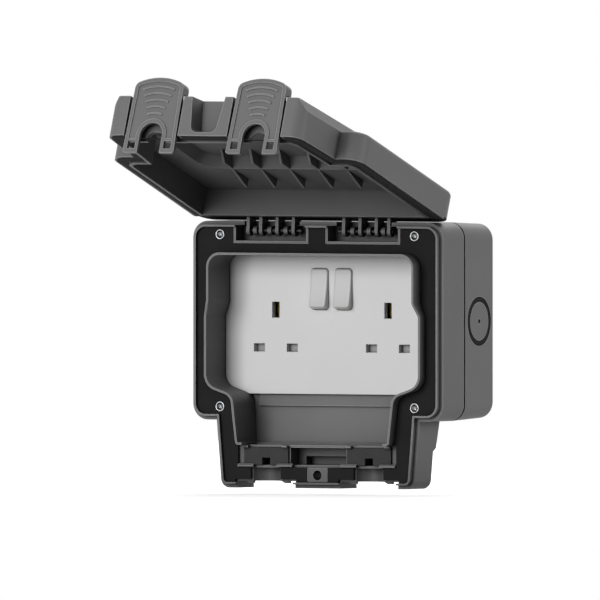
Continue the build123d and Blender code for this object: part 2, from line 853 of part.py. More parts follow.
with BuildPart() as moulding_screws:
    with BuildSketch(at_height(moulding_back)):
        with Locations(*moulding_screw_places):
            Circle(moulding_screw)
    extrude(amount=-moulding_screw * 2 / 3)
    with BuildSketch(at_height(moulding_back)):
        with Locations(*moulding_screw_places):
            Circle(moulding_screw / 2)
    extrude(amount=plate_back - moulding_back + moulding_screw_bite - screw_tip_gap)
moulding_screws.part.label = "moulding_screws"
export_step(moulding_screws.part, "parts/moulding_screws.step")


# Insulating tray behind the plate, with shutter rails, rocker retainers and terminal openings
retainer_offset = rocker_width / 2 + (rocker_gap + trunnion_reach) / 2
retainer_places = [
    (x + offset, z)
    for x, z in rocker_places
    for offset in (-retainer_offset, retainer_offset)
]
rail_places = [
    (side * outlet_x + offset, (rail_top_z + rail_foot_z) / 2)
    for side in (-1, 1)
    for offset in (-rail_offset, rail_offset)
]
tray_width = 2 * moulding_half
tray_middle_z = (moulding_top_z + moulding_foot_z) / 2
tray_height_z = moulding_top_z - moulding_foot_z
with BuildPart() as rear_moulding:
    with BuildSketch(at_height(moulding_back)):
        with Locations((0, tray_middle_z)):
            RectangleRounded(tray_width, tray_height_z, plate_corner)
    extrude(amount=plate_back - moulding_back)
    with BuildSketch(at_height(moulding_floor)):
        with Locations((0, tray_middle_z)):
            Rectangle(tray_width - 2 * moulding_wall, tray_height_z - 2 * moulding_wall)
    extrude(amount=plate_back - moulding_floor, mode=Mode.SUBTRACT)
    with BuildSketch(at_height(moulding_floor)):
        with Locations(*moulding_screw_places):
            Circle(moulding_post / 2)
    extrude(amount=plate_back - moulding_floor)
    with BuildSketch(at_height(moulding_back)):
        with Locations(*moulding_screw_places):
            Circle(moulding_screw / 2 + running_gap)
    extrude(amount=plate_back - moulding_back, mode=Mode.SUBTRACT)
    with BuildSketch(at_height(moulding_floor)):
        with Locations(*rail_places):
            Rectangle(rail_width, rail_top_z - rail_foot_z)
    extrude(amount=shutter_back - shutter_gap - moulding_floor)
    with BuildSketch(at_height(moulding_floor)):
        with Locations(*retainer_places):
            Rectangle(trunnion_reach - rocker_gap, trunnion)
    extrude(amount=rocker_height - trunnion / 2 - running_gap - moulding_floor)
    with BuildSketch(at_height(moulding_back)):
        with Locations(*terminal_places):
            Rectangle(terminal_width + 2 * fit_gap, terminal_depth + 2 * fit_gap)
    extrude(amount=moulding_floor - moulding_back, mode=Mode.SUBTRACT)
rear_moulding.part.label = "rear_moulding"
export_step(rear_moulding.part, "parts/rear_moulding.step")


def terminal_block(place_x, place_z):
    """Terminal pillar through the moulding's floor, bored across for the wire."""
    with BuildPart() as block:
        with BuildSketch(at_height(terminal_back)):
            with Locations((place_x, place_z)):
                Rectangle(terminal_width, terminal_depth)
        extrude(amount=moulding_floor - terminal_back)
        with BuildSketch(Plane.XY.offset(place_z - terminal_depth)):
            with Locations((place_x, -(terminal_back + moulding_floor) / 2)):
                Circle(terminal_bore / 2)
        extrude(amount=2 * terminal_depth, mode=Mode.SUBTRACT)
    return block.part


def line_clip(place_x, base_height):
    """Two blades, above and below the path of a line pin, standing on their strip."""
    with BuildPart() as clip:
        with BuildSketch(at_height(base_height)):
            with Locations((place_x, line_z)):
                Rectangle(line_slot_width, blade_gap + 2 * blade)
                Rectangle(line_slot_width, blade_gap, mode=Mode.SUBTRACT)
        extrude(amount=blade_tip - base_height)
    return clip.part


earth_terminal = terminal_block(earth_terminal_x, earth_z)
neutral_terminal = terminal_block(neutral_terminal_x, neutral_bar_z)
feed_terminal = terminal_block(0, feed_terminal_z)
neutral_pins = (-outlet_x - pin_spread, outlet_x - pin_spread)
neutral_clips = [line_clip(pin_x, moulding_floor) for pin_x in neutral_pins]


# Earth strap: a strip between the outlets, a pair of blades for each earth pin and a terminal
with BuildPart() as earth_strap:
    with BuildSketch(at_height(moulding_floor)):
        with Locations((0, earth_z)):
            Rectangle(2 * outlet_x + 2 * bar_width, bar_width)
    extrude(amount=strip)
    with BuildSketch(at_height(moulding_floor)):
        with Locations(*earth_slots):
            Rectangle(blade_gap + 2 * blade, earth_slot_height)
            Rectangle(blade_gap, earth_slot_height, mode=Mode.SUBTRACT)
    extrude(amount=blade_tip - moulding_floor)
    add(earth_terminal)
earth_strap.part.label = "earth_strap"
export_step(earth_strap.part, "parts/earth_strap.step")


# Neutral bar: a strip below the pins with a tab and a clip at the left pin of each outlet
with BuildPart() as neutral_bar:
    with BuildSketch(at_height(moulding_floor)):
        with Locations(((neutral_pins[0] + neutral_pins[1]) / 2, neutral_bar_z)):
            Rectangle(neutral_pins[1] - neutral_pins[0] + bar_width, bar_width)
        with Locations(*[(x, (neutral_bar_z + line_z) / 2) for x in neutral_pins]):
            Rectangle(bar_width, line_z - neutral_bar_z + bar_width)
    extrude(amount=strip)
    add(neutral_clips)
    add(neutral_terminal)
neutral_bar.part.label = "neutral_bar"
export_step(neutral_bar.part, "parts/neutral_bar.step")


def export_live_contact(name, side):
    """Clip at the right pin of one outlet, with a raised strip to the switch's fixed contact."""
    pin_x = side * outlet_x + pin_spread
    run_x = side * live_bar_x
    bar_height = moulding_floor + live_lift
    live_clip = line_clip(pin_x, bar_height)
    with BuildPart() as live_contact:
        with BuildSketch(at_height(moulding_floor)):
            with Locations((pin_x, line_z)):
                Rectangle(bar_width, bar_width)
        extrude(amount=live_lift)
        with BuildSketch(at_height(bar_height)):
            with Locations((pin_x, (live_bar_z + line_z) / 2)):
                Rectangle(bar_width, live_bar_z - line_z + bar_width)
            with Locations(((pin_x + run_x) / 2, live_bar_z)):
                Rectangle(abs(pin_x - run_x) + bar_width, bar_width)
            with Locations((run_x, (live_bar_z + fixed_contact_z) / 2)):
                Rectangle(run_bar_width, fixed_contact_z - live_bar_z + run_bar_width)
            with Locations(((run_x + side * rocker_x) / 2, fixed_contact_z)):
                Rectangle(live_bar_x - rocker_x + run_bar_width, run_bar_width)
        extrude(amount=strip)
        with BuildSketch(at_height(moulding_floor)):
            with Locations((run_x, fixed_contact_z)):
                Rectangle(run_bar_width, run_bar_width)
        extrude(amount=live_lift)
        add(live_clip)
    live_contact.part.label = name
    export_step(live_contact.part, f"parts/{name}.step")


# Feed: a strip under both switch arms with a knife-edge yoke for each, and the live terminal
yoke_height = arm_height - arm_pivot_drop - arm_pivot_gap
with BuildPart() as live_feed:
    with BuildSketch(at_height(moulding_floor)):
        with Locations((0, feed_bar_z)):
            Rectangle(2 * rocker_x + arm_width, bar_width)
        with Locations(*[(x, (z + feed_bar_z) / 2) for x, z in rocker_places]):
            Rectangle(arm_width, feed_bar_z - rocker_z + strip)
        with Locations((0, (feed_bar_z + feed_terminal_z) / 2)):
            Rectangle(bar_width, feed_terminal_z - feed_bar_z + bar_width)
    extrude(amount=strip)
    with BuildSketch(at_height(moulding_floor)):
        with Locations(*rocker_places):
            Rectangle(arm_width, strip)
    extrude(amount=yoke_height - moulding_floor)
    add(feed_terminal)
live_feed.part.label = "live_feed"
export_step(live_feed.part, "parts/live_feed.step")

with BuildPart() as terminal_screws:
    with BuildSketch(at_height(terminal_back)):
        with Locations(*terminal_places):
            Circle(terminal_screw / 2)
    extrude(amount=-terminal_screw_rise)
    with BuildSketch(at_height(terminal_back - terminal_screw_rise)):
        with Locations(*terminal_places):
            Rectangle(terminal_screw, blade)
    extrude(amount=blade, mode=Mode.SUBTRACT)
terminal_screws.part.label = "terminal_screws"
export_step(terminal_screws.part, "parts/terminal_screws.step")


def export_rocker(side_name, place_x):
    """Rocker with round ends about its pivot, a stem behind it and trunnions at its sides."""
    side_plane = Plane(
        origin=(place_x - rocker_width / 2, -rocker_height, rocker_z),
        x_dir=Vector(0, -1, 0).rotate(Axis.X, -rocker_tilt),
        z_dir=(1, 0, 0),
    )
    stem_end = Plane(
        origin=Vector(place_x, -rocker_height, rocker_z) - stem_reach * side_plane.x_dir,
        x_dir=(1, 0, 0),
        z_dir=-side_plane.x_dir,
    )
    with BuildPart() as rocker:
        with BuildSketch(side_plane):
            Circle(rocker_radius)
            with Locations(((rocker_face - rocker_skirt) / 2, 0)):
                Rectangle(rocker_face + rocker_skirt, 2 * rocker_radius, mode=Mode.INTERSECT)
            with Locations((-stem_reach / 2, 0)):
                Rectangle(stem_reach, 2 * stem_half)
        extrude(amount=rocker_width)
        with BuildSketch(side_plane.offset(-trunnion_reach)):
            Circle(trunnion / 2)
        extrude(amount=rocker_width + 2 * trunnion_reach)
        with BuildSketch(stem_end):
            Circle(plunger / 2 + running_gap)
        extrude(amount=-plunger_seat, mode=Mode.SUBTRACT)
    rocker.part.label = f"rocker_{side_name}"
    export_step(rocker.part, f"parts/rocker_{side_name}.step")

    # Sprung plunger in the stem, with a round tip that tips the switch arm
    with BuildPart() as rocker_plunger:
        with BuildSketch(stem_end):
            Circle(plunger / 2)
        extrude(amount=plunger_reach - stem_reach)
        with BuildSketch(stem_end):
            Circle(plunger / 2)
        extrude(amount=-plunger_seat)
        tip = rocker_plunger.faces().sort_by(Axis(stem_end.origin, stem_end.z_dir))[-1]
        fillet(tip.edges(), plunger / 3)
    rocker_plunger.part.label = f"rocker_plunger_{side_name}"
    export_step(rocker_plunger.part, f"parts/rocker_plunger_{side_name}.step")

    # Seesaw contact arm, tipped the other way from the rocker, with a silver button at its far end
    arm_plane = Plane(
        origin=(place_x - arm_width / 2, -arm_height, rocker_z),
        x_dir=Vector(0, -1, 0).rotate(Axis.X, arm_tilt),
        z_dir=(1, 0, 0),
    )
    with BuildPart() as switch_arm:
        with BuildSketch(arm_plane):
            with Locations((-strip / 2, 0)):
                Rectangle(strip, arm_length)
            with Locations((-(arm_pivot_drop + strip) / 2, 0)):
                Rectangle(arm_pivot_drop - strip, 2 * strip)
        extrude(amount=arm_width)
    switch_arm.part.label = f"switch_arm_{side_name}"
    export_step(switch_arm.part, f"parts/switch_arm_{side_name}.step")


def export_shutter(side_name, place_x):
    """Sliding shutter with a window for each line pin, a tongue for the earth pin and a spring lug."""
    lug_back = shutter_back - spring_diameter
    with BuildPart() as shutter:
        with BuildSketch(at_height(shutter_back)):
            with Locations((place_x, (shutter_top_z + shutter_foot_z) / 2)):
                Rectangle(2 * shutter_half, shutter_top_z - shutter_foot_z)
            with Locations(
                (place_x - pin_spread, shutter_window_z),
                (place_x + pin_spread, shutter_window_z),
            ):
                Rectangle(line_slot_width, line_slot_height, mode=Mode.SUBTRACT)
        extrude(amount=shutter_thickness)
        with BuildSketch(Plane.YZ.offset(place_x - shutter_tongue / 2)):
            Polygon(
                (-shutter_front, shutter_top_z - shutter_lug),
                (-shutter_front, shutter_tongue_top - shutter_tongue_depth),
                (shutter_tongue_depth - shutter_front, shutter_tongue_top),
                (shutter_tongue_depth - shutter_front, shutter_top_z - shutter_lug),
                align=None,
            )
        extrude(amount=shutter_tongue)
        with BuildSketch(at_height(lug_back)):
            with Locations((place_x, shutter_foot_z + shutter_lug / 2)):
                Rectangle(spring_diameter, shutter_lug)
        extrude(amount=spring_diameter)
    shutter.part.label = f"shutter_{side_name}"
    export_step(shutter.part, f"parts/shutter_{side_name}.step")

    # Return spring between the shutter's lug and the moulding's wall
    spring_foot_z = moulding_foot_z + moulding_wall
    with BuildPart() as shutter_spring:
        with BuildSketch(Plane.XY.offset(spring_foot_z)):
            with Locations((place_x, -(shutter_back - spring_diameter / 2))):
                Circle(spring_diameter / 2)
                Circle(spring_bore / 2, mode=Mode.SUBTRACT)
        extrude(amount=shutter_foot_z - spring_foot_z)
    shutter_spring.part.label = f"shutter_spring_{side_name}"
    export_step(shutter_spring.part, f"parts/shutter_spring_{side_name}.step")


for side_name, side in (("left", -1), ("right", 1)):
    export_live_contact(f"live_contact_{side_name}", side)
    export_rocker(side_name, side * rocker_x)
    export_shutter(side_name, side * outlet_x)


# The lid is drawn closed, over the frame, on planes that are then turned open about the hinge axis
hinge_turn = (
    Location((0, -hinge_height, hinge_z))
    * Location((0, 0, 0), (-lid_open, 0, 0))
    * Location((0, hinge_height, -hinge_z))
)


def on_lid(plane):
    """A plane of the closed lid, turned to where it is with the lid open."""
    return Plane(hinge_turn * plane.location)


def lid_height(height):
    """Plane across the lid at a closed height above the wall."""
    return on_lid(at_height(height))


def lid_outline(inset):
    """Outline of the lid, set in with its corners kept parallel where they are round enough."""
    corner = max(body_corner - inset, lid_cavity_corner)
    return enclosure_outline(inset, corner, max(lid_foot_corner - inset, lid_cavity_corner))


lid_rim = rim_height + lid_gap
lid_top = lid_rim + lid_depth
dome_top = lid_top + dome_rise
lid_out = Axis(lid_height(0).origin, lid_height(0).z_dir)
lid_rear_z = half_height - lid_rear_margin
lid_relief_z = half_height - lid_relief_margin
dome_slope_low = dome_top - dome_slope_rise
dome_inner_top = dome_top_z - dome_wall
dome_inner_foot = lid_land - chin_reach
dome_inner_half = chin_half(dome_inner_foot) - lid_land
latch_pivot_height = rim_height + latch_pivot_rise
latch_pivot_z = latch_pivot_setback - chin_reach
latch_pocket_z = latch_pocket_setback - chin_reach
latch_pocket_width = latch_width + 2 * latch_pocket_gap
latch_pocket_depth = chin_reach + latch_pocket_z
latch_pin_length = latch_pocket_width + 2 * latch_pin_overhang
latch_sides = [(-latch_x, 0), (latch_x, 0)]
scoop_low = lid_rim + scoop_rise
scoop_top = dome_top + scoop_depth


def dome_section(level_z):
    """Section across the dome at one level, upright and then sloping in, as wide as the chin there."""
    half = chin_half(level_z)
    section_plane = Plane(origin=(0, 0, level_z), x_dir=(1, 0, 0), z_dir=(0, 0, -1))
    with BuildSketch(on_lid(section_plane)) as section:
        Polygon(
            (-half, lid_rim),
            (half, lid_rim),
            (half, dome_slope_low),
            (half - dome_slope, dome_top),
            (dome_slope - half, dome_top),
            (-half, dome_slope_low),
            align=None,
        )
    return section.sketch


# Dome over the plugs, held within the lid's outline, with a slope down to the lid behind it
with BuildPart() as dome:
    add(dome_section(-chin_reach))
    add(dome_section(dome_top_z))
    loft()
    with BuildSketch(on_lid(Plane.YZ)):
        Polygon(
            (-dome_top, dome_top_z - dome_slope),
            (-dome_slope_low, dome_top_z),
            (-dome_top, dome_top_z),
            align=None,
        )
    extrude(amount=body_width, both=True, mode=Mode.SUBTRACT)
    with BuildSketch(lid_height(lid_rim)):
        add(lid_outline(0))
    extrude(amount=dome_top - lid_rim, mode=Mode.INTERSECT)


# Lid shell with its dome, cavity, latch pockets, finger scoop and hinge arms
with BuildPart() as lid:
    with BuildSketch(lid_height(lid_rim)):
        add(lid_outline(0))
    extrude(amount=lid_depth)
    fillet(lid.faces().sort_by(lid_out)[-1].edges(), lid_edge)
    add(dome.part)

    # Cavity, deeper under the dome, with a lip round it that bears on the frame's rubber mat
    with BuildSketch(lid_height(lid_rim - lid_lip_drop)):
        add(lid_outline(lid_land - lid_lip_width))
        with Locations((0, lid_rear_z + lid_lip_width + half_height / 2)):
            Rectangle(body_width, half_height, mode=Mode.SUBTRACT)
    extrude(amount=lid_lip_drop)
    with BuildSketch(lid_height(lid_rim - lid_lip_drop)):
        add(lid_outline(lid_land))
        with Locations((0, lid_rear_z + half_height / 2)):
            Rectangle(body_width, half_height, mode=Mode.SUBTRACT)
    extrude(amount=lid_lip_drop + lid_ceiling, mode=Mode.SUBTRACT)
    with BuildSketch(lid_height(lid_rim + lid_ceiling)):
        with Locations((0, (dome_inner_top + dome_inner_foot) / 2)):
            RectangleRounded(2 * dome_inner_half, dome_inner_top - dome_inner_foot, dome_cavity_corner)
    dome_cavity_depth = dome_top - dome_wall - lid_rim - lid_ceiling
    extrude(amount=dome_cavity_depth, taper=dome_cavity_draft, mode=Mode.SUBTRACT)

    # Ribs under the dome, each in line with a fin on the ceiling behind the step
    ceiling_height = lid_rim + lid_ceiling
    for rib_x in rib_places:
        with BuildSketch(on_lid(Plane.YZ.offset(rib_x - rib_thickness / 2))):
            Polygon(
                (-ceiling_height, dome_inner_top),
                (-ceiling_height, dome_inner_top - rib_reach),
                (dome_wall - dome_top, dome_inner_top - rib_reach - dome_rise),
                (dome_wall - dome_top, dome_inner_top - dome_wall),
                align=None,
            )
            Polygon(
                (-ceiling_height, dome_inner_top),
                (-ceiling_height, dome_inner_top + fin_reach),
                (fin_drop - ceiling_height, dome_inner_top + fin_reach),
                align=None,
            )
        extrude(amount=rib_thickness)

    # Pockets for the latches and notches for the leads in the end wall
    with BuildSketch(lid_height(lid_rim - lid_lip_drop)):
        with Locations(*latch_sides):
            with Locations((0, latch_pocket_z - latch_pocket_depth / 2)):
                Rectangle(latch_pocket_width, latch_pocket_depth)
    extrude(amount=dome_top - lid_rim + lid_lip_drop, mode=Mode.SUBTRACT)
    with BuildSketch(on_lid(Plane.XY.offset(-chin_reach))):
        with Locations(*[(x, -lid_rim + lid_lip_drop) for x, z in latch_sides]):
            Circle(lead_notch_radius)
    extrude(amount=lid_land + lid_lip_width, mode=Mode.SUBTRACT)
    for side_x, side_z in latch_sides:
        with BuildSketch(on_lid(Plane.YZ.offset(side_x - latch_pin_length / 2))):
            with Locations((-latch_pivot_height, latch_pivot_z)):
                Circle(latch_pin / 2 + running_gap)
        extrude(amount=latch_pin_length, mode=Mode.SUBTRACT)

    # Finger scoop with drafted walls, backed by a thicker wall inside
    with BuildSketch(lid_height(scoop_low - scoop_wall)):
        with Locations((0, dome_inner_foot)):
            Rectangle(2 * (scoop_flare + scoop_wall), 2 * (scoop_depth + scoop_wall - lid_land))
    extrude(amount=dome_top - dome_wall - scoop_low + scoop_wall)
    with BuildSketch(on_lid(Plane(origin=(0, 0, -chin_reach), x_dir=(1, 0, 0), z_dir=(0, 0, -1)))) as scoop:
        Polygon(
            (-scoop_half, scoop_low),
            (scoop_half, scoop_low),
            (scoop_flare, scoop_top),
            (-scoop_flare, scoop_top),
            align=None,
        )
        fillet(scoop.vertices().group_by(Axis.Y)[0], scoop_corner)
    extrude(amount=-scoop_depth, taper=scoop_draft, mode=Mode.SUBTRACT)

    # Relief over the frame's lip as the lid swings, and hinge arms with bored knuckles
    with BuildSketch(lid_height(lid_rim)):
        with Locations((0, lid_relief_z + half_height / 2)):
            Rectangle(body_width, half_height)
    extrude(amount=lid_relief, mode=Mode.SUBTRACT)
    for side in (-1, 1):
        for arm in arm_offsets:
            arm_x = side * (hinge_x + arm)
            with BuildSketch(on_lid(Plane.YZ.offset(arm_x - arm_thickness / 2))):
                with Locations((-hinge_height, hinge_z)):
                    Circle(knuckle_radius)
                Polygon(
                    (-hinge_height, hinge_z - knuckle_radius),
                    (-hinge_height, hinge_z + arm_back),
                    (-lid_rim - lid_relief - arm_root, hinge_z + arm_back),
                    (-lid_rim - lid_relief - arm_root, hinge_z - arm_front),
                    align=None,
                )
                with Locations((-hinge_height, hinge_z)):
                    Circle(hinge_pin / 2 + running_gap, mode=Mode.SUBTRACT)
            extrude(amount=arm_thickness)
lid.part.label = "lid"
export_step(lid.part, "parts/lid.step")


latch_low = rim_height - latch_foot_drop
latch_skirt_low = dome_top + latch_skirt_gap
latch_high = latch_skirt_low + latch_tab_rise
latch_window_middle = latch_low + latch_window_inset + latch_window_height / 2
latch_panel_low = latch_low + latch_window_inset + latch_window_height + latch_panel_gap
latch_arch_centre = latch_low + latch_arch_rise - latch_arch_width / 2


def latch_shape(inset):
    """Outline of a latch plate, widest at its foot, with a crowned top."""
    foot_half = latch_width / 2
    tab_half = latch_tab_width / 2
    shoulder = latch_high - latch_crown
    with BuildSketch() as shape:
        with BuildLine():
            Polyline(
                (-tab_half, shoulder),
                (-foot_half, latch_low),
                (foot_half, latch_low),
                (tab_half, shoulder),
            )
            ThreePointArc((tab_half, shoulder), (0, latch_high), (-tab_half, shoulder))
        make_face()
        fillet(shape.vertices().group_by(Axis.Y)[0], latch_leg_corner)
        fillet(shape.vertices().group_by(Axis.Y)[-1], latch_tab_corner)
        offset(amount=-inset, mode=Mode.REPLACE)
    return shape.sketch


def latch_arch(grow):
    """Outline of the arch between a latch's legs."""
    with BuildSketch() as arch:
        with Locations((0, latch_arch_centre)):
            Circle(latch_arch_width / 2 + grow)
        with Locations((0, latch_arch_centre - latch_arch_rise / 2)):
            Rectangle(latch_arch_width + 2 * grow, latch_arch_rise)
    return arch.sketch


def latch_ribs():
    """Fan of short arcs on the tab, struck from the centre of the arch."""
    fan_reach = 2 * latch_high - 2 * latch_low
    with BuildSketch() as ribs:
        with Locations((0, latch_arch_centre)):
            for rib in reversed(range(latch_rib_count)):
                rib_radius = latch_rib_first + rib * latch_rib_pitch
                Circle(rib_radius + latch_rib_width / 2)
                Circle(rib_radius - latch_rib_width / 2, mode=Mode.SUBTRACT)
            Polygon(
                (0, 0),
                (fan_reach * latch_rib_spread, fan_reach),
                (-fan_reach * latch_rib_spread, fan_reach),
                align=None,
                mode=Mode.INTERSECT,
            )
    return ribs.sketch


def export_latch(side_name, place_x):
    """Latch plate with an arch for the lead, windows for the teeth, a ribbed panel and pivot ears."""
    front = Plane(origin=(place_x, 0, latch_face_z), x_dir=(1, 0, 0), z_dir=(0, 0, -1))
    plate_rear = front.offset(-latch_plate)
    ear_middle = (latch_width - latch_ear) / 2 - latch_ear_inset
    with BuildPart() as latch:
        with BuildSketch(on_lid(front)):
            add(latch_shape(0))
            add(latch_arch(0), mode=Mode.SUBTRACT)
            with Locations((-tooth_offset, latch_window_middle), (tooth_offset, latch_window_middle)):
                Rectangle(latch_window_width, latch_window_height, mode=Mode.SUBTRACT)
        extrude(amount=-latch_plate)
        with BuildSketch(on_lid(front)):
            add(latch_shape(latch_border))
            add(latch_arch(latch_arch_border), mode=Mode.SUBTRACT)
            with Locations((0, latch_panel_low - latch_high / 2)):
                Rectangle(2 * latch_width, latch_high, mode=Mode.SUBTRACT)
            add(latch_ribs(), mode=Mode.SUBTRACT)
        extrude(amount=-latch_panel, mode=Mode.SUBTRACT)
        with BuildSketch(on_lid(plate_rear)):
            add(latch_shape(0))
            add(latch_shape(latch_skirt), mode=Mode.SUBTRACT)
            with Locations((0, latch_skirt_low - latch_high / 2)):
                Rectangle(2 * latch_width, latch_high, mode=Mode.SUBTRACT)
        extrude(amount=latch_plate - latch_skirt_depth)
        for side in (-1, 1):
            with BuildSketch(on_lid(Plane.YZ.offset(place_x + side * ear_middle - latch_ear / 2))):
                with Locations((-latch_pivot_height, latch_pivot_z)):
                    Circle(latch_ear_radius)
                with Locations((-latch_pivot_height, (latch_pivot_z + latch_face_z + latch_plate) / 2)):
                    Rectangle(2 * latch_ear_radius, latch_pivot_z - latch_face_z - latch_plate)
                with Locations((-latch_pivot_height, latch_pivot_z)):
                    Circle(latch_pin / 2 + running_gap, mode=Mode.SUBTRACT)
            extrude(amount=latch_ear)
    latch.part.label = f"latch_{side_name}"
    export_step(latch.part, f"parts/latch_{side_name}.step")

    # Pivot pin through the ears into the walls of the lid's pocket
    with BuildPart() as latch_pin_part:
        with BuildSketch(on_lid(Plane.YZ.offset(place_x - latch_pin_length / 2))):
            with Locations((-latch_pivot_height, latch_pivot_z)):
                Circle(latch_pin / 2)
        extrude(amount=latch_pin_length)
    latch_pin_part.part.label = f"latch_pin_{side_name}"
    export_step(latch_pin_part.part, f"parts/latch_pin_{side_name}.step")


for side_name, side in (("left", -1), ("right", 1)):
    export_latch(side_name, side * latch_x)
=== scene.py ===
import json
import math

import bmesh
import bpy
import numpy as np
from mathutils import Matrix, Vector


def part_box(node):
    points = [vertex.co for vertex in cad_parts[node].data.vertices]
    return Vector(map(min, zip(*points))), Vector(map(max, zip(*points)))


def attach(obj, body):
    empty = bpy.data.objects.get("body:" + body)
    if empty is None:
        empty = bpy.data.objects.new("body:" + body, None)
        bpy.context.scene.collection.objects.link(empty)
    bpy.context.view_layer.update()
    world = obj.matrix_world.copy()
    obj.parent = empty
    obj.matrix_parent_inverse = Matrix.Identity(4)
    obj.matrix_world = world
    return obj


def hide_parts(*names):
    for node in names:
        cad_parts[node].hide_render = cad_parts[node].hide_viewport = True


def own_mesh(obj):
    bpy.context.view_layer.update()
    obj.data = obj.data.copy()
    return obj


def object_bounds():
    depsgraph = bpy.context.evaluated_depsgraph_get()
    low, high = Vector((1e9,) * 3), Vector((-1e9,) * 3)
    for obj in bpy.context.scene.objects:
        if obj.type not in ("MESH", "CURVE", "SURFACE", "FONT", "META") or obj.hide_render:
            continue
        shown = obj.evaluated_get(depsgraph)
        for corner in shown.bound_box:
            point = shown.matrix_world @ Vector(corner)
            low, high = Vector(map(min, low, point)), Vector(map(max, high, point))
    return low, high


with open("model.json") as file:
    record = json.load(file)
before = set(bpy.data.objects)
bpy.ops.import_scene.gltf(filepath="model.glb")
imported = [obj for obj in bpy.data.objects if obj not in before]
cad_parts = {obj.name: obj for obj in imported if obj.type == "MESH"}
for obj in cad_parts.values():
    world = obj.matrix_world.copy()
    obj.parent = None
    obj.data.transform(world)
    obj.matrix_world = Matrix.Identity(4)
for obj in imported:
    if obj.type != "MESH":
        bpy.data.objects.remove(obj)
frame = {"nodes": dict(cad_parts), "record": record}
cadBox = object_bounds()
nodes = frame["nodes"]
mm = 0.001  # one millimetre in Blender's metres
print("frame loaded:", len(nodes), "nodes")


# Shared helpers

def linear(hexColour):
    # sRGB hex to a linear RGBA colour
    channels = [int(hexColour[i:i + 2], 16) / 255 for i in (1, 3, 5)]
    return tuple(c / 12.92 if c <= 0.04045 else ((c + 0.055) / 1.055) ** 2.4 for c in channels) + (1.0,)


def addNode(tree, kind, inputs, settings={}):
    # a shader node with its settings, and its sockets set to a value or linked to another socket
    node = tree.nodes.new(kind)
    for name, value in settings.items():
        setattr(node, name, value)
    for name, value in inputs.items():
        if isinstance(value, bpy.types.NodeSocket):
            tree.links.new(value, node.inputs[name])
        else:
            node.inputs[name].default_value = value
    return node


def newMaterial(name):
    # an empty material and its node tree
    material = bpy.data.materials.new(name)
    material.use_nodes = True
    material.node_tree.nodes.clear()
    return material, material.node_tree


def finishMaterial(tree, shader):
    output = tree.nodes.new("ShaderNodeOutputMaterial")
    tree.links.new(shader, output.inputs["Surface"])


def fromBand(band):
    # the low and high end of what a Map Range node reads
    return {"From Min": band[0], "From Max": band[1]}


def aboutMiddle(middle, spread):
    # the low and high end of what a Map Range node gives
    return {"To Min": middle - spread, "To Max": middle + spread}


colourMix = {"data_type": "RGBA"}
mixA, mixB, mixResult = 6, 7, 2  # the Mix node's colour sockets
raySamples = {"samples": 6}  # for the nodes that feel for near surfaces and edges


# Materials. Lengths are in mm. "hollow" and "groove" are the painted shade: the share of the colour left in
# the deepest ones

# Shared by the moulded finishes. The tool's real grain, about 0.1 mm, is too fine to show in the render,
# so it is drawn 0.3 to 0.4 mm wide
mouldedLook = {"flowBand": (0.3, 0.7), "grainSize": 0.3, "grainDepth": 0.1, "polishSpread": 0.06,
               "edge": 0.3, "edgeHighlight": 0.1, "edgeHighlightReach": 0.5, "edgeHighlightBend": (0.997, 0.96), "edgeHighlightBand": (0.55, 0.8),
               "hollow": 0.6, "hollowReach": 6.0, "hollowBand": (0.15, 0.95),
               "groove": 0.35, "grooveReach": 1.5, "grooveBand": (0.3, 0.92), "specular": 0.4}


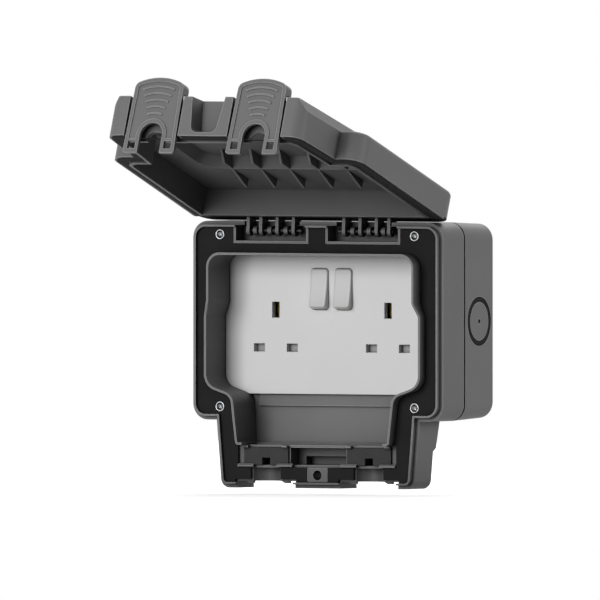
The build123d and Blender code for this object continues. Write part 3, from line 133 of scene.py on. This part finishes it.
def mouldedMaterial(name, look):
    # A moulded surface: slow flow marks in its colour, the tool's grain as bump, a painted highlight that
    # makes the edges paler, and painted shade that keeps corners and pockets dark
    material, tree = newMaterial(name)
    place = addNode(tree, "ShaderNodeTexCoord", {}).outputs["Object"]
    flow = addNode(tree, "ShaderNodeTexNoise", {
        "Vector": place, "Scale": 1 / (look["flowSize"] * mm), "Detail": 3.0})
    shade = addNode(tree, "ShaderNodeMapRange", {"Value": flow.outputs["Fac"], **fromBand(look["flowBand"])})
    colour = addNode(tree, "ShaderNodeMix", {
        "Factor": shade.outputs["Result"], mixA: linear(look["colour"]), mixB: linear(look["flow"])},
        colourMix)

    # painted highlight on the edges: where the rounded normal leans away from the flat one, on open surfaces
    # only
    hollow = addNode(tree, "ShaderNodeAmbientOcclusion", {"Distance": look["hollowReach"] * mm}, raySamples)
    softEdge = addNode(tree, "ShaderNodeBevel", {"Radius": look["edge"] * mm}, raySamples)
    facing = addNode(tree, "ShaderNodeNewGeometry", {}).outputs["Normal"]
    highlightEdge = addNode(tree, "ShaderNodeBevel", {"Radius": look["edgeHighlightReach"] * mm}, raySamples)
    bend = addNode(tree, "ShaderNodeVectorMath", {0: facing, 1: highlightEdge.outputs["Normal"]},
                   {"operation": "DOT_PRODUCT"})
    highlightShare = addNode(tree, "ShaderNodeMapRange", {
        "Value": bend.outputs["Value"], **fromBand(look["edgeHighlightBend"]), "To Max": look["edgeHighlight"]})
    exposed = addNode(tree, "ShaderNodeMapRange", {
        "Value": hollow.outputs["AO"], **fromBand(look["edgeHighlightBand"])})
    paintedHighlight = addNode(tree, "ShaderNodeMath", {0: highlightShare.outputs["Result"], 1: exposed.outputs["Result"]},
                   {"operation": "MULTIPLY"})
    highlightedColour = addNode(tree, "ShaderNodeMix", {
        "Factor": paintedHighlight.outputs[0], mixA: colour.outputs[mixResult], mixB: linear(look["edgeHighlightColour"])},
        colourMix)

    # painted shade: darker in wide hollows and in narrow grooves
    hollowShade = addNode(tree, "ShaderNodeMapRange", {
        "Value": hollow.outputs["AO"], **fromBand(look["hollowBand"]),
        "To Min": look["hollow"], "To Max": 1.0})
    groove = addNode(tree, "ShaderNodeAmbientOcclusion", {"Distance": look["grooveReach"] * mm}, raySamples)
    grooveShade = addNode(tree, "ShaderNodeMapRange", {
        "Value": groove.outputs["AO"], **fromBand(look["grooveBand"]),
        "To Min": look["groove"], "To Max": 1.0})
    dark = addNode(tree, "ShaderNodeMath", {0: hollowShade.outputs["Result"], 1: grooveShade.outputs["Result"]},
                   {"operation": "MULTIPLY"})
    shadedColour = addNode(tree, "ShaderNodeMix", {
        "Factor": 1.0, mixA: highlightedColour.outputs[mixResult], mixB: dark.outputs[0]},
        {**colourMix, "blend_type": "MULTIPLY"})

    # grain, in the bump and the polish
    grain = addNode(tree, "ShaderNodeTexNoise", {
        "Vector": place, "Scale": 1 / (look["grainSize"] * mm), "Detail": 2.0})
    bump = addNode(tree, "ShaderNodeBump", {
        "Height": grain.outputs["Fac"], "Strength": look["grain"], "Distance": look["grainDepth"] * mm,
        "Normal": softEdge.outputs["Normal"]})
    polish = addNode(tree, "ShaderNodeMapRange", {
        "Value": grain.outputs["Fac"], **aboutMiddle(look["roughness"], look["polishSpread"])})
    shader = addNode(tree, "ShaderNodeBsdfPrincipled", {
        "Base Color": shadedColour.outputs[mixResult], "Roughness": polish.outputs["Result"],
        "Normal": bump.outputs["Normal"], "Specular IOR Level": look["specular"], "IOR": look["ior"]})
    finishMaterial(tree, shader.outputs["BSDF"])
    return material


metalLook = {"edge": 0.15, "polishSpread": 0.08, "tarnishAndShadeBand": (0.62, 0.95)}  # shared by the metals


def metalMaterial(name, look):
    # A plated, drawn or turned metal: roughness varied by fine haze, and hollows darkened: tarnish on the
    # brass, and painted shade on the zinc and the steel
    material, tree = newMaterial(name)
    place = addNode(tree, "ShaderNodeTexCoord", {}).outputs["Object"]
    haze = addNode(tree, "ShaderNodeTexNoise", {
        "Vector": place, "Scale": 1 / (look["hazeSize"] * mm), "Detail": 3.0})
    rough = addNode(tree, "ShaderNodeMapRange", {
        "Value": haze.outputs["Fac"], **aboutMiddle(look["roughness"], look["polishSpread"])})
    hollow = addNode(tree, "ShaderNodeAmbientOcclusion", {"Distance": look["hollowReach"] * mm}, raySamples)
    bright = addNode(tree, "ShaderNodeMapRange", {
        "Value": hollow.outputs["AO"], **fromBand(look["tarnishAndShadeBand"])})
    colour = addNode(tree, "ShaderNodeMix", {
        "Factor": bright.outputs["Result"], mixA: linear(look["tarnishAndShade"]), mixB: linear(look["colour"])},
        colourMix)
    softEdge = addNode(tree, "ShaderNodeBevel", {"Radius": look["edge"] * mm}, raySamples)
    shader = addNode(tree, "ShaderNodeBsdfPrincipled", {
        "Base Color": colour.outputs[mixResult], "Metallic": 1.0, "Roughness": rough.outputs["Result"],
        "Normal": softEdge.outputs["Normal"]})
    finishMaterial(tree, shader.outputs["BSDF"])
    return material


greyLook = dict(mouldedLook, colour="#757575", flow="#717171", flowSize=25.0, grainSize=0.35, grain=0.12,
                edgeHighlight=0.6, edgeHighlightReach=0.8, edgeHighlightColour="#c6c6c6", hollow=0.15, hollowReach=45.0,
                groove=0.25, grooveReach=1.6, roughness=0.52, specular=0.3, ior=1.58)
rubberLook = dict(mouldedLook, colour="#202020", flow="#242424", flowSize=12.0, grainSize=0.4, grain=0.15,
                  edgeHighlight=0.15, edgeHighlightColour="#3a3a3a", hollow=0.5, roughness=0.82, specular=0.15, ior=1.5)
cableRubberLook = dict(rubberLook, colour="#454545", flow="#4b4b4b", edgeHighlight=0.3, edgeHighlightColour="#606060",
                       hollow=0.25)
plateLook = dict(mouldedLook, colour="#ececec", flow="#e9e9e9", flowSize=30.0, grain=0.04, edge=0.4,
                 edgeHighlightColour="#f2f2f2", hollow=0.7, hollowReach=5.0, groove=0.65, grooveReach=1.0,
                 roughness=0.38, ior=1.56)
rockerLook = dict(plateLook, colour="#d8d8d8", flow="#d5d5d5", flowSize=18.0, grain=0.03, edge=0.7,
                  edgeHighlight=0.3, hollowReach=3.0, roughness=0.34)
shutterLook = dict(mouldedLook, colour="#a0a0a0", flow="#9c9c9c", flowSize=10.0, grain=0.05, edge=0.2,
                   edgeHighlightColour="#c8c8c7", hollowReach=3.0, roughness=0.45, ior=1.48)
insulatorLook = dict(mouldedLook, colour="#d2d1cc", flow="#cccbc5", flowSize=15.0, grain=0.08,
                     edgeHighlightColour="#dddcd8", roughness=0.5, ior=1.53)
brassLook = dict(metalLook, colour="#c9a65a", tarnishAndShade="#6b552a", hollowReach=4.0, hazeSize=3.0,
                 roughness=0.32)
# on zinc and steel the dark colour for hollows is painted shade
zincLook = dict(metalLook, colour="#aeb0b2", tarnishAndShade="#161718", hollowReach=3.0, hazeSize=1.5,
                roughness=0.3)
steelLook = dict(metalLook, colour="#3c3d3e", tarnishAndShade="#161616", hollowReach=4.0, hazeSize=2.0,
                 roughness=0.5)

finishes = {
    # box, frame, lid and latches: an even dull grey with paler lines of painted highlight along the edges
    "grey_enclosure": mouldedMaterial("grey spark-eroded polycarbonate", greyLook),
    # seals and the mat on the face: a matt black with hardly a highlight
    "black_rubber": mouldedMaterial("black EPDM rubber", rubberLook),
    # socket plate: a clean white with a soft, low gloss
    "white_plate": mouldedMaterial("off-white urea moulding", plateLook),
    # rockers: a shade greyer than the plate, smoother, with round bright edges, partly painted highlight
    "white_rocker": mouldedMaterial("off-white polished urea", rockerLook),
    # shutters: a mid grey behind the slots, waxy and even
    "grey_shutter": mouldedMaterial("pale grey acetal", shutterLook),
    # moulding behind the plate: a dull cream
    "insulator": mouldedMaterial("cream nylon", insulatorLook),
    # current path: a warm yellow glint deep in the slots
    "brass_contact": metalMaterial("rolled brass", brassLook),
    # plungers under the rockers: the same yellow
    "brass_plunger": metalMaterial("turned brass", brassLook),
    # all screws: a bright ring round a dark recess, its dark partly painted shade
    "zinc_screw": metalMaterial("bright zinc plate", zincLook),
    # pins and springs: near black with a dull shine
    "steel_pin": metalMaterial("blackened steel", steelLook),
}
# cable entry blocks: a paler, softer black than the mat's
cableRubber = mouldedMaterial("charcoal silicone rubber", cableRubberLook)

slotOf = {part["node"]: part["material_slot"] for part in frame["record"]["subparts"]}
for name, node in nodes.items():
    node.data.materials.clear()
    node.data.materials.append(cableRubber if name.startswith("cable_seal") else finishes[slotOf[name]])
print("materials:", len(finishes) + 1)


# New pieces, in mm until they become a mesh

# points nearer than the first become one, and bends sharper than the second (in degrees) stay crisp
meshLook = {"weld": 0.001, "sharpAngle": 40.0}


def gridPiece(name, points, body, slot, ringClosed=True):
    # A mesh from points (copies, rows, columns, xyz in mm): each copy's rows close on themselves, and the
    # last row meets the first where ringClosed; rows drawn to a point are welded there
    copies, rows, columns = points.shape[:3]
    lastRow = rows if ringClosed else rows - 1
    copy, row, column = np.meshgrid(np.arange(copies), np.arange(lastRow), np.arange(columns), indexing="ij")
    start, nextRow, nextColumn = copy * rows * columns, (row + 1) % rows, (column + 1) % columns
    faces = start[..., None] + np.stack([
        row * columns + column, nextRow * columns + column, nextRow * columns + nextColumn,
        row * columns + nextColumn], axis=-1)
    mesh = bpy.data.meshes.new(name)
    mesh.from_pydata((points.reshape(-1, 3) * mm).tolist(), [], faces.reshape(-1, 4).tolist())
    work = bmesh.new()
    work.from_mesh(mesh)
    bmesh.ops.remove_doubles(work, verts=work.verts, dist=meshLook["weld"] * mm)
    bmesh.ops.recalc_face_normals(work, faces=work.faces)
    work.to_mesh(mesh)
    work.free()
    mesh.shade_smooth()
    mesh.set_sharp_from_angle(angle=math.radians(meshLook["sharpAngle"]))
    piece = bpy.data.objects.new(name, mesh)
    bpy.context.scene.collection.objects.link(piece)
    mesh.materials.append(finishes[slot])
    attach(piece, body)
    print(name + ":", len(mesh.polygons), "faces")
    return piece


def fullTurn(count):
    # angles once round, the last one short of the first
    return np.linspace(0, 2 * np.pi, count, endpoint=False)


def nodeCorners(node):
    # a CAD node's lowest and highest corner, in mm
    return (np.array(corner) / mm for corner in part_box(node))


# The lid is described closed, as the CAD draws it, and turned open about the hinge with this
hingeLook = {"height": 57.3, "z": 52.8, "open": 110.0}


def openLid(x, z, height):
    # points of the closed lid (height above the wall) turned to where they are with the lid open
    turn = math.radians(hingeLook["open"])
    down, out = hingeLook["z"] - z, height - hingeLook["height"]
    y = -(hingeLook["height"] + down * math.sin(turn) + out * math.cos(turn))
    return np.stack([x, y, hingeLook["z"] - down * math.cos(turn) + out * math.sin(turn)], axis=-1)


lidLook = {"width": 168.8, "height": 116.4, "chinReach": 97.9, "chinFootHalf": 65.2, "chinTaper": 0.0835,
           "corner": 9.7, "footCorner": 8.2, "innerCorner": 6.0, "landWidth": 7.5, "rim": 64.0,
           "relief": 1.4, "reliefZ": 48.0, "reliefBlend": 0.8,
           "latchX": 34.75, "pocketHalf": 19.0, "pocketInset": (6.5, 7.4), "pocketBlend": 0.6,
           "arcPoints": 14, "footPoints": 80, "footShare": (0.99, 0.01)}


def lidOutline(inset):
    # Outline of the lid set in by each of an array of insets: straight runs between corner arcs, whose
    # radius falls evenly from the outside to the inner edge of the land. Along the foot the run steps in
    # behind the latch pockets. Gives x and z, a row for each inset
    look = lidLook
    inset = inset[:, None]
    behind = np.interp(inset, (inset.min(), inset.max()), look["pocketInset"])
    share = inset / look["landWidth"]
    corner = look["corner"] + (look["innerCorner"] - look["corner"]) * share
    foot = look["footCorner"] + (look["innerCorner"] - look["footCorner"]) * share
    side = look["width"] / 2 - inset
    top = look["height"] / 2 - inset
    taper, reach = look["chinTaper"], look["chinReach"]
    upper = np.radians(np.linspace(90, 0, look["arcPoints"]))[None, :]
    lower = np.radians(np.linspace(0, -90, look["arcPoints"]))[None, :]
    footArc = np.linspace(-math.atan(taper), -math.pi / 2, look["arcPoints"])[None, :]
    joinX = look["chinFootHalf"] + (reach - top) * taper - inset
    footZ = inset - reach + foot
    footX = look["chinFootHalf"] + (footZ + reach) * taper - inset - foot * math.hypot(1, taper)
    runX = footX * np.linspace(*look["footShare"], look["footPoints"])
    blend = look["pocketBlend"]
    pocket = np.clip((look["pocketHalf"] + blend / 2 - np.abs(runX - look["latchX"])) / blend, 0, 1)
    x = np.concatenate([side - corner + corner * np.cos(upper), side - corner + corner * np.cos(lower),
                        joinX, footX + foot * np.cos(footArc), runX], axis=1)
    z = np.concatenate([top - corner + corner * np.sin(upper), -top + corner + corner * np.sin(lower),
                        -top, footZ + foot * np.sin(footArc),
                        inset - reach + pocket * (behind - inset)], axis=1)
    return np.concatenate([x, -x[:, ::-1]], axis=1), np.concatenate([z, z[:, ::-1]], axis=1)


landSealLook = {"outer": 1.0, "inner": 7.2, "proud": 0.35, "buried": 0.3, "sectionPoints": 20,
                "flatness": 0.35, "roundness": 0.6}


def landSealPoints():
    # Rubber seal on the lid's land: a flat rounded section, the cosine and sine of a turn each raised to a
    # power below one, carried round the outline and stepped up at the relief
    look = landSealLook
    angle = fullTurn(look["sectionPoints"])
    across = np.sign(np.cos(angle)) * np.abs(np.cos(angle)) ** look["flatness"]
    rounded = np.sign(np.sin(angle)) * np.abs(np.sin(angle)) ** look["roundness"]
    middle, half = (look["outer"] + look["inner"]) / 2, (look["inner"] - look["outer"]) / 2
    x, z = lidOutline(middle + half * across)
    depth = np.where(rounded > 0, rounded * look["proud"], rounded * look["buried"])[:, None]
    blend = lidLook["reliefBlend"]
    step = np.clip((z - lidLook["reliefZ"] + blend / 2) / blend, 0, 1) * lidLook["relief"]
    return openLid(x, z, lidLook["rim"] + step - depth)[None]


gridPiece("lid_seal", landSealPoints(), "lid", "black_rubber")


screwLook = {"shank": 2.0, "tipShare": 0.5, "tipLength": 1.2, "head": 3.1, "rise": 2.0,
             "ringRise": 0.75, "ringPoints": 13, "bowl": 2.05, "bowlShare": (0.75, 0.45), "bowlDrop": 0.7,
             "bowlFloor": 0.3, "lobes": 4, "lobeSwell": (0.132, 0.352), "turn": 35.0, "columns": 64}


def screwPoints():
    # Frame screws: one profile from the tip to the middle of the head, turned about each screw's line.
    # The head is a rounded ring round a bowl, and the bowl's foot swells four times a turn into a cross
    look = screwLook
    low, high = nodeCorners("frame_screws")
    tip, front = -high[1], -low[1]
    seat = front - look["rise"]
    ringFoot = seat + look["rise"] - look["ringRise"]
    bend = np.radians(np.linspace(0, 180, look["ringPoints"]))
    ringMiddle, ringHalf = (look["head"] + look["bowl"]) / 2, (look["head"] - look["bowl"]) / 2
    floor = seat + look["bowlFloor"]
    lipShare, floorShare = look["bowlShare"]
    radius = np.concatenate([
        [0, look["shank"] * look["tipShare"], look["shank"], look["shank"], look["head"]],
        ringMiddle + ringHalf * np.cos(bend), [look["bowl"] * lipShare, look["bowl"] * floorShare, 0]])
    height = np.concatenate([
        [tip, tip, tip + look["tipLength"], seat, seat],
        ringFoot + look["ringRise"] * np.sin(bend), [ringFoot - look["bowlDrop"], floor, floor]])
    swell = np.zeros_like(radius)
    swell[-3:-1] = look["lobeSwell"]  # the two rows of the bowl
    around = fullTurn(look["columns"])
    lobes = np.cos(look["lobes"] * (around - math.radians(look["turn"])))
    wide = radius[:, None] * (1 + swell[:, None] * lobes)
    inward = np.array([1, -1]) * look["head"]
    centreX, centreZ = np.array([low[0], high[0]]) + inward, np.array([low[2], high[2]]) + inward
    placeX, placeZ = (grid.ravel()[:, None, None] for grid in np.meshgrid(centreX, centreZ))
    x, z = placeX + wide * np.cos(around), placeZ + wide * np.sin(around)
    return np.stack([x, np.broadcast_to(-height[:, None], x.shape), z], axis=-1)


screws = gridPiece("screws_cross_recess", screwPoints(), "base", "zinc_screw", False)
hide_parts("frame_screws")


ringLook = {"x": 83.1, "lean": 0.03768, "height": 17.0, "radius": 12.8, "halfWidth": 1.35, "halfRise": 0.4,
            "sunk": 0.6, "aroundPoints": 72, "sectionPoints": 14}


def ringPoints(side):
    # Black ring set in the groove round a knock-out, painted shade for the groove: an oval section carried
    # round a circle on the leaning side
    look = ringLook
    around, section = fullTurn(look["aroundPoints"])[:, None], fullTurn(look["sectionPoints"])[None, :]
    reach = look["radius"] + look["halfWidth"] * np.cos(section)
    rise = look["halfRise"] * np.sin(section) - look["sunk"]
    height = look["height"] + reach * np.cos(around)
    x = look["x"] + look["lean"] * height + rise
    return np.stack([side * x, -height, reach * np.sin(around)], axis=-1)


# the black rings are painted shade: a dark piece where the groove is only shaded
gridPiece("knockout_rings", np.stack([ringPoints(-1), ringPoints(1)]), "base", "black_rubber")


# Rockers and the plate's windows round them share one outline
outlineLook = {"sidePoints": 14, "cornerPoints": 9}


def roundedOutline():
    # Long sides cut in steps, then two corner arcs, and so on round. Each point is the middle of its corner
    # plus an arm of unit length, so that it can be set in or scaled. Gives middles and arms, x and z
    quarter = np.radians(np.linspace(0, 90, outlineLook["cornerPoints"]))
    sideShare = np.linspace(-1, 1, outlineLook["sidePoints"])
    flat, still = np.ones_like(sideShare), np.zeros_like(sideShare)
    one, sine, cosine = np.ones_like(quarter), np.sin(quarter), np.cos(quarter)
    return (np.concatenate([flat, one, -one, -flat, -one, one]),
            np.concatenate([sideShare, one, one, -sideShare, -one, -one]),
            np.concatenate([flat, cosine, -sine, -flat, -cosine, sine]),
            np.concatenate([still, sine, cosine, still, -sine, -cosine]))


middleX, middleZ, armX, armZ = roundedOutline()

rockerCapLook = {"place": (8.05, 42.6, 18.5), "tilt": 8.3, "width": 11.3, "radius": 12.15, "face": 3.85,
                 "dish": 0.8, "back": -1.4, "corner": 1.9, "edge": 0.8, "edgeStart": 15.0,
                 "stemShare": 0.3, "stemReach": -7.0, "faceShare": 0.9,
                 "wallRows": 6, "edgeRows": 6, "faceRows": 10}


def rockerPoints(side):
    # A stem, a back, walls, a rounded edge and a dished face, row by row from the stem's middle to the
    # face's. Walls end on a circle about the pivot, and the face rises with the square of the way to an end
    look = rockerCapLook
    halfLength = np.sqrt(look["radius"] ** 2 - look["face"] ** 2)
    wallShare = np.linspace(0, 1, look["wallRows"])[:, None]
    edgeTurn = np.radians(np.linspace(look["edgeStart"], 90, look["edgeRows"]))[:, None]
    endZ = middleZ * (halfLength - look["corner"]) + armZ * look["corner"]
    rim = look["face"] + look["dish"] * (endZ / halfLength) ** 2 - look["edge"]
    out = np.concatenate([look["back"] + wallShare * (rim - look["back"]),
                          rim + look["edge"] * np.sin(edgeTurn) * np.ones_like(rim)])
    inset = np.concatenate([wallShare * 0, look["edge"] * (1 - np.cos(edgeTurn))])
    reach = np.sqrt(look["radius"] ** 2 - out ** 2) - look["corner"]
    x = middleX * (look["width"] / 2 - look["corner"]) + armX * (look["corner"] - inset)
    up = middleZ * reach + armZ * (look["corner"] - inset)
    shrink = np.linspace(look["faceShare"], 0, look["faceRows"])[:, None]
    faceX, faceUp = x[-1] * shrink, up[-1] * shrink
    faceOut = look["face"] + look["dish"] * (faceUp / halfLength) ** 2
    stem = np.array([0, look["stemShare"], look["stemShare"]])[:, None]
    stemOut = np.array([look["stemReach"], look["stemReach"], look["back"]])[:, None] * np.ones_like(rim)
    x, up = np.concatenate([x[0] * stem, x, faceX]), np.concatenate([up[0] * stem, up, faceUp])
    out = np.concatenate([stemOut, out, faceOut])
    tilt, (placeX, height, z) = math.radians(look["tilt"]), look["place"]
    return np.stack([side * placeX + x, up * math.sin(tilt) - out * math.cos(tilt) - height,
                     z + out * math.sin(tilt) + up * math.cos(tilt)], axis=-1)


for sideName, side in (("left", -1), ("right", 1)):
    rocker = gridPiece("rocker_cap_" + sideName, rockerPoints(side)[None], "rocker_" + sideName,
                       "white_rocker", False)
    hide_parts("rocker_" + sideName)


windowLook = {"height": 44.4, "depth": 2.6, "proud": 0.01, "width": 11.8, "length": 24.8, "corner": 2.2,
              "lap": 0.7, "lapCorner": 0.05}


def windowPoints(side):
    # A square-cornered outline just inside the plate and a round-cornered one just outside the rocker,
    # carried from the plate's face to its back
    look = windowLook
    lap = np.array([look["lap"], 0, 0, look["lap"]])[:, None]
    corner = np.array([look["lapCorner"], look["corner"], look["corner"], look["lapCorner"]])[:, None]
    out = np.array([look["proud"], look["proud"], -look["depth"], -look["depth"]])[:, None]
    x = middleX * (look["width"] / 2 + lap - corner) + armX * corner
    z = middleZ * (look["length"] / 2 + lap - corner) + armZ * corner
    placeX, _, placeZ = rockerCapLook["place"]
    return np.stack([side * placeX + x, -look["height"] - out * np.ones_like(x), placeZ + z], axis=-1)


gridPiece("rocker_windows", np.stack([windowPoints(-1), windowPoints(1)]), "base", "white_plate")


springLook = {"wire": 0.35, "turns": 9.0, "tipShare": 0.0025, "travel": 6.0,
              "steps": 260, "sectionPoints": 10}


def springPoints(low, high):
    # Shutter spring: a round wire, its section upright through the coil's line, carried along a coil whose
    # pitch eases to nothing at both ends, where the wire draws in to a point
    look = springLook
    middle, coil = (low + high) / 2, (high[0] - low[0]) / 2 - look["wire"]
    share = np.linspace(0, 1, look["steps"])[:, None]
    turn, around = 2 * np.pi * look["turns"] * share, fullTurn(look["sectionPoints"])[None, :]
    climb = share - np.sin(2 * np.pi * share) / (2 * np.pi)
    wire = look["wire"] * np.clip(np.minimum(share, 1 - share) / look["tipShare"], 0, 1)
    reach = coil + wire * np.cos(around)
    z = low[2] + look["wire"] + climb * (high[2] - low[2] - 2 * look["wire"]) + wire * np.sin(around)
    return np.stack([middle[0] + reach * np.cos(turn), middle[1] + reach * np.sin(turn), z], axis=-1)


for sideName in ("left", "right"):
    low, high = nodeCorners("shutter_spring_" + sideName)
    spring = gridPiece("spring_coil_" + sideName, springPoints(low, high)[None], "base", "steel_pin", False)
    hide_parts("shutter_spring_" + sideName)
    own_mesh(spring)


# Stage, camera and light

stageLook = {"white": "#ffffff", "paperColour": "#d8d8d8", "bounceColour": "#5a5a5a",
             "nearGlow": 0.68, "farGlow": 1.0, "glowReach": (110.0, 260.0), "drop": 4.0,
             "size": 3.0, "worldStrength": 0.09, "backdropStrength": 1.0}  # size in metres


def backgroundRays(tree):
    # one for the rays that see the background: from the camera, and off or through glossy and clear surfaces
    path = addNode(tree, "ShaderNodeLightPath", {})
    seen = addNode(tree, "ShaderNodeMath", {
        0: path.outputs["Is Camera Ray"], 1: path.outputs["Is Glossy Ray"]}, {"operation": "MAXIMUM"})
    seen = addNode(tree, "ShaderNodeMath", {
        0: seen.outputs[0], 1: path.outputs["Is Transmission Ray"]}, {"operation": "MAXIMUM"})
    return seen.outputs[0]


floorZ = cadBox[0].z - stageLook["drop"] * mm
bpy.ops.mesh.primitive_plane_add(size=stageLook["size"], location=(0, 0, floorZ))
floor = bpy.context.object
floor.name = "floor"

floorMaterial, tree = newMaterial("white paper sweep")  # near white to the eye, with the object's soft shadow
seen = backgroundRays(tree)
place = addNode(tree, "ShaderNodeTexCoord", {}).outputs["Object"]
distance = addNode(tree, "ShaderNodeVectorMath", {0: place}, {"operation": "LENGTH"})
near, far = (reach * mm for reach in stageLook["glowReach"])
sweep = addNode(tree, "ShaderNodeMapRange", {
    "Value": distance.outputs["Value"], **fromBand((near, far)),
    "To Min": stageLook["nearGlow"], "To Max": stageLook["farGlow"]}, {"interpolation_type": "SMOOTHSTEP"})
glow = addNode(tree, "ShaderNodeEmission", {
    "Color": linear(stageLook["white"]), "Strength": sweep.outputs["Result"]})
paper = addNode(tree, "ShaderNodeBsdfDiffuse", {"Color": linear(stageLook["paperColour"])})
lit = addNode(tree, "ShaderNodeAddShader", {0: glow.outputs[0], 1: paper.outputs[0]})
bounce = addNode(tree, "ShaderNodeBsdfDiffuse", {"Color": linear(stageLook["bounceColour"])})
mixed = addNode(tree, "ShaderNodeMixShader", {0: seen, 1: bounce.outputs[0], 2: lit.outputs[0]})
finishMaterial(tree, mixed.outputs[0])
floor.data.materials.append(floorMaterial)

world = bpy.data.worlds.new("studio")
bpy.context.scene.world = world
world.use_nodes = True
tree = world.node_tree
tree.nodes.clear()
seen = backgroundRays(tree)
ambient = addNode(tree, "ShaderNodeBackground", {
    "Color": linear(stageLook["white"]), "Strength": stageLook["worldStrength"]})
backdrop = addNode(tree, "ShaderNodeBackground", {
    "Color": linear(stageLook["white"]), "Strength": stageLook["backdropStrength"]})
mixed = addNode(tree, "ShaderNodeMixShader", {0: seen, 1: ambient.outputs[0], 2: backdrop.outputs[0]})
output = tree.nodes.new("ShaderNodeOutputWorld")
tree.links.new(mixed.outputs[0], output.inputs["Surface"])


def placeAround(thing, centre, look):
    # stands a lamp or the camera off a point, at an azimuth (from the front, to the right), an elevation and
    # a distance, and turns it to face that point
    turn, tip = math.radians(look["azimuth"]), math.radians(look["elevation"])
    away = Vector((math.sin(turn) * math.cos(tip), -math.cos(turn) * math.cos(tip), math.sin(tip)))
    bpy.context.scene.collection.objects.link(thing)
    thing.location = centre + away * look["distance"]
    thing.rotation_euler = (-away).to_track_quat("-Z", "Y").to_euler()


# square soft boxes, sizes and distances in metres
lampAim = (0.0, -0.06, 0.02)
lampLooks = {
    "key": {"azimuth": -15.0, "elevation": 13.0, "distance": 2.0, "size": 1.1, "power": 26},
    "side": {"azimuth": 100.0, "elevation": 15.0, "distance": 1.8, "size": 0.8, "power": 10},
    "rear": {"azimuth": 190.0, "elevation": 50.0, "distance": 2.0, "size": 1.2, "power": 20},
}
for name, look in lampLooks.items():
    lampData = bpy.data.lights.new(name, "AREA")
    lampData.size = look["size"]
    lampData.energy = look["power"]
    placeAround(bpy.data.objects.new(name, lampData), Vector(lampAim), look)

# scale and centre in mm, distance in metres
cameraLook = {"azimuth": 30.0, "elevation": 1.0, "distance": 2.0, "scale": 351.3,
              "centre": (-10.55, -63.5, 12.38)}
cameraData = bpy.data.cameras.new("camera")
cameraData.type = "ORTHO"  # the photograph shows no perspective
cameraData.ortho_scale = cameraLook["scale"] * mm
camera = bpy.data.objects.new("camera", cameraData)
placeAround(camera, Vector(cameraLook["centre"]) * mm, cameraLook)
bpy.context.scene.camera = camera
bpy.context.scene.view_settings.view_transform = "Standard"
print("stage, light and camera placed")
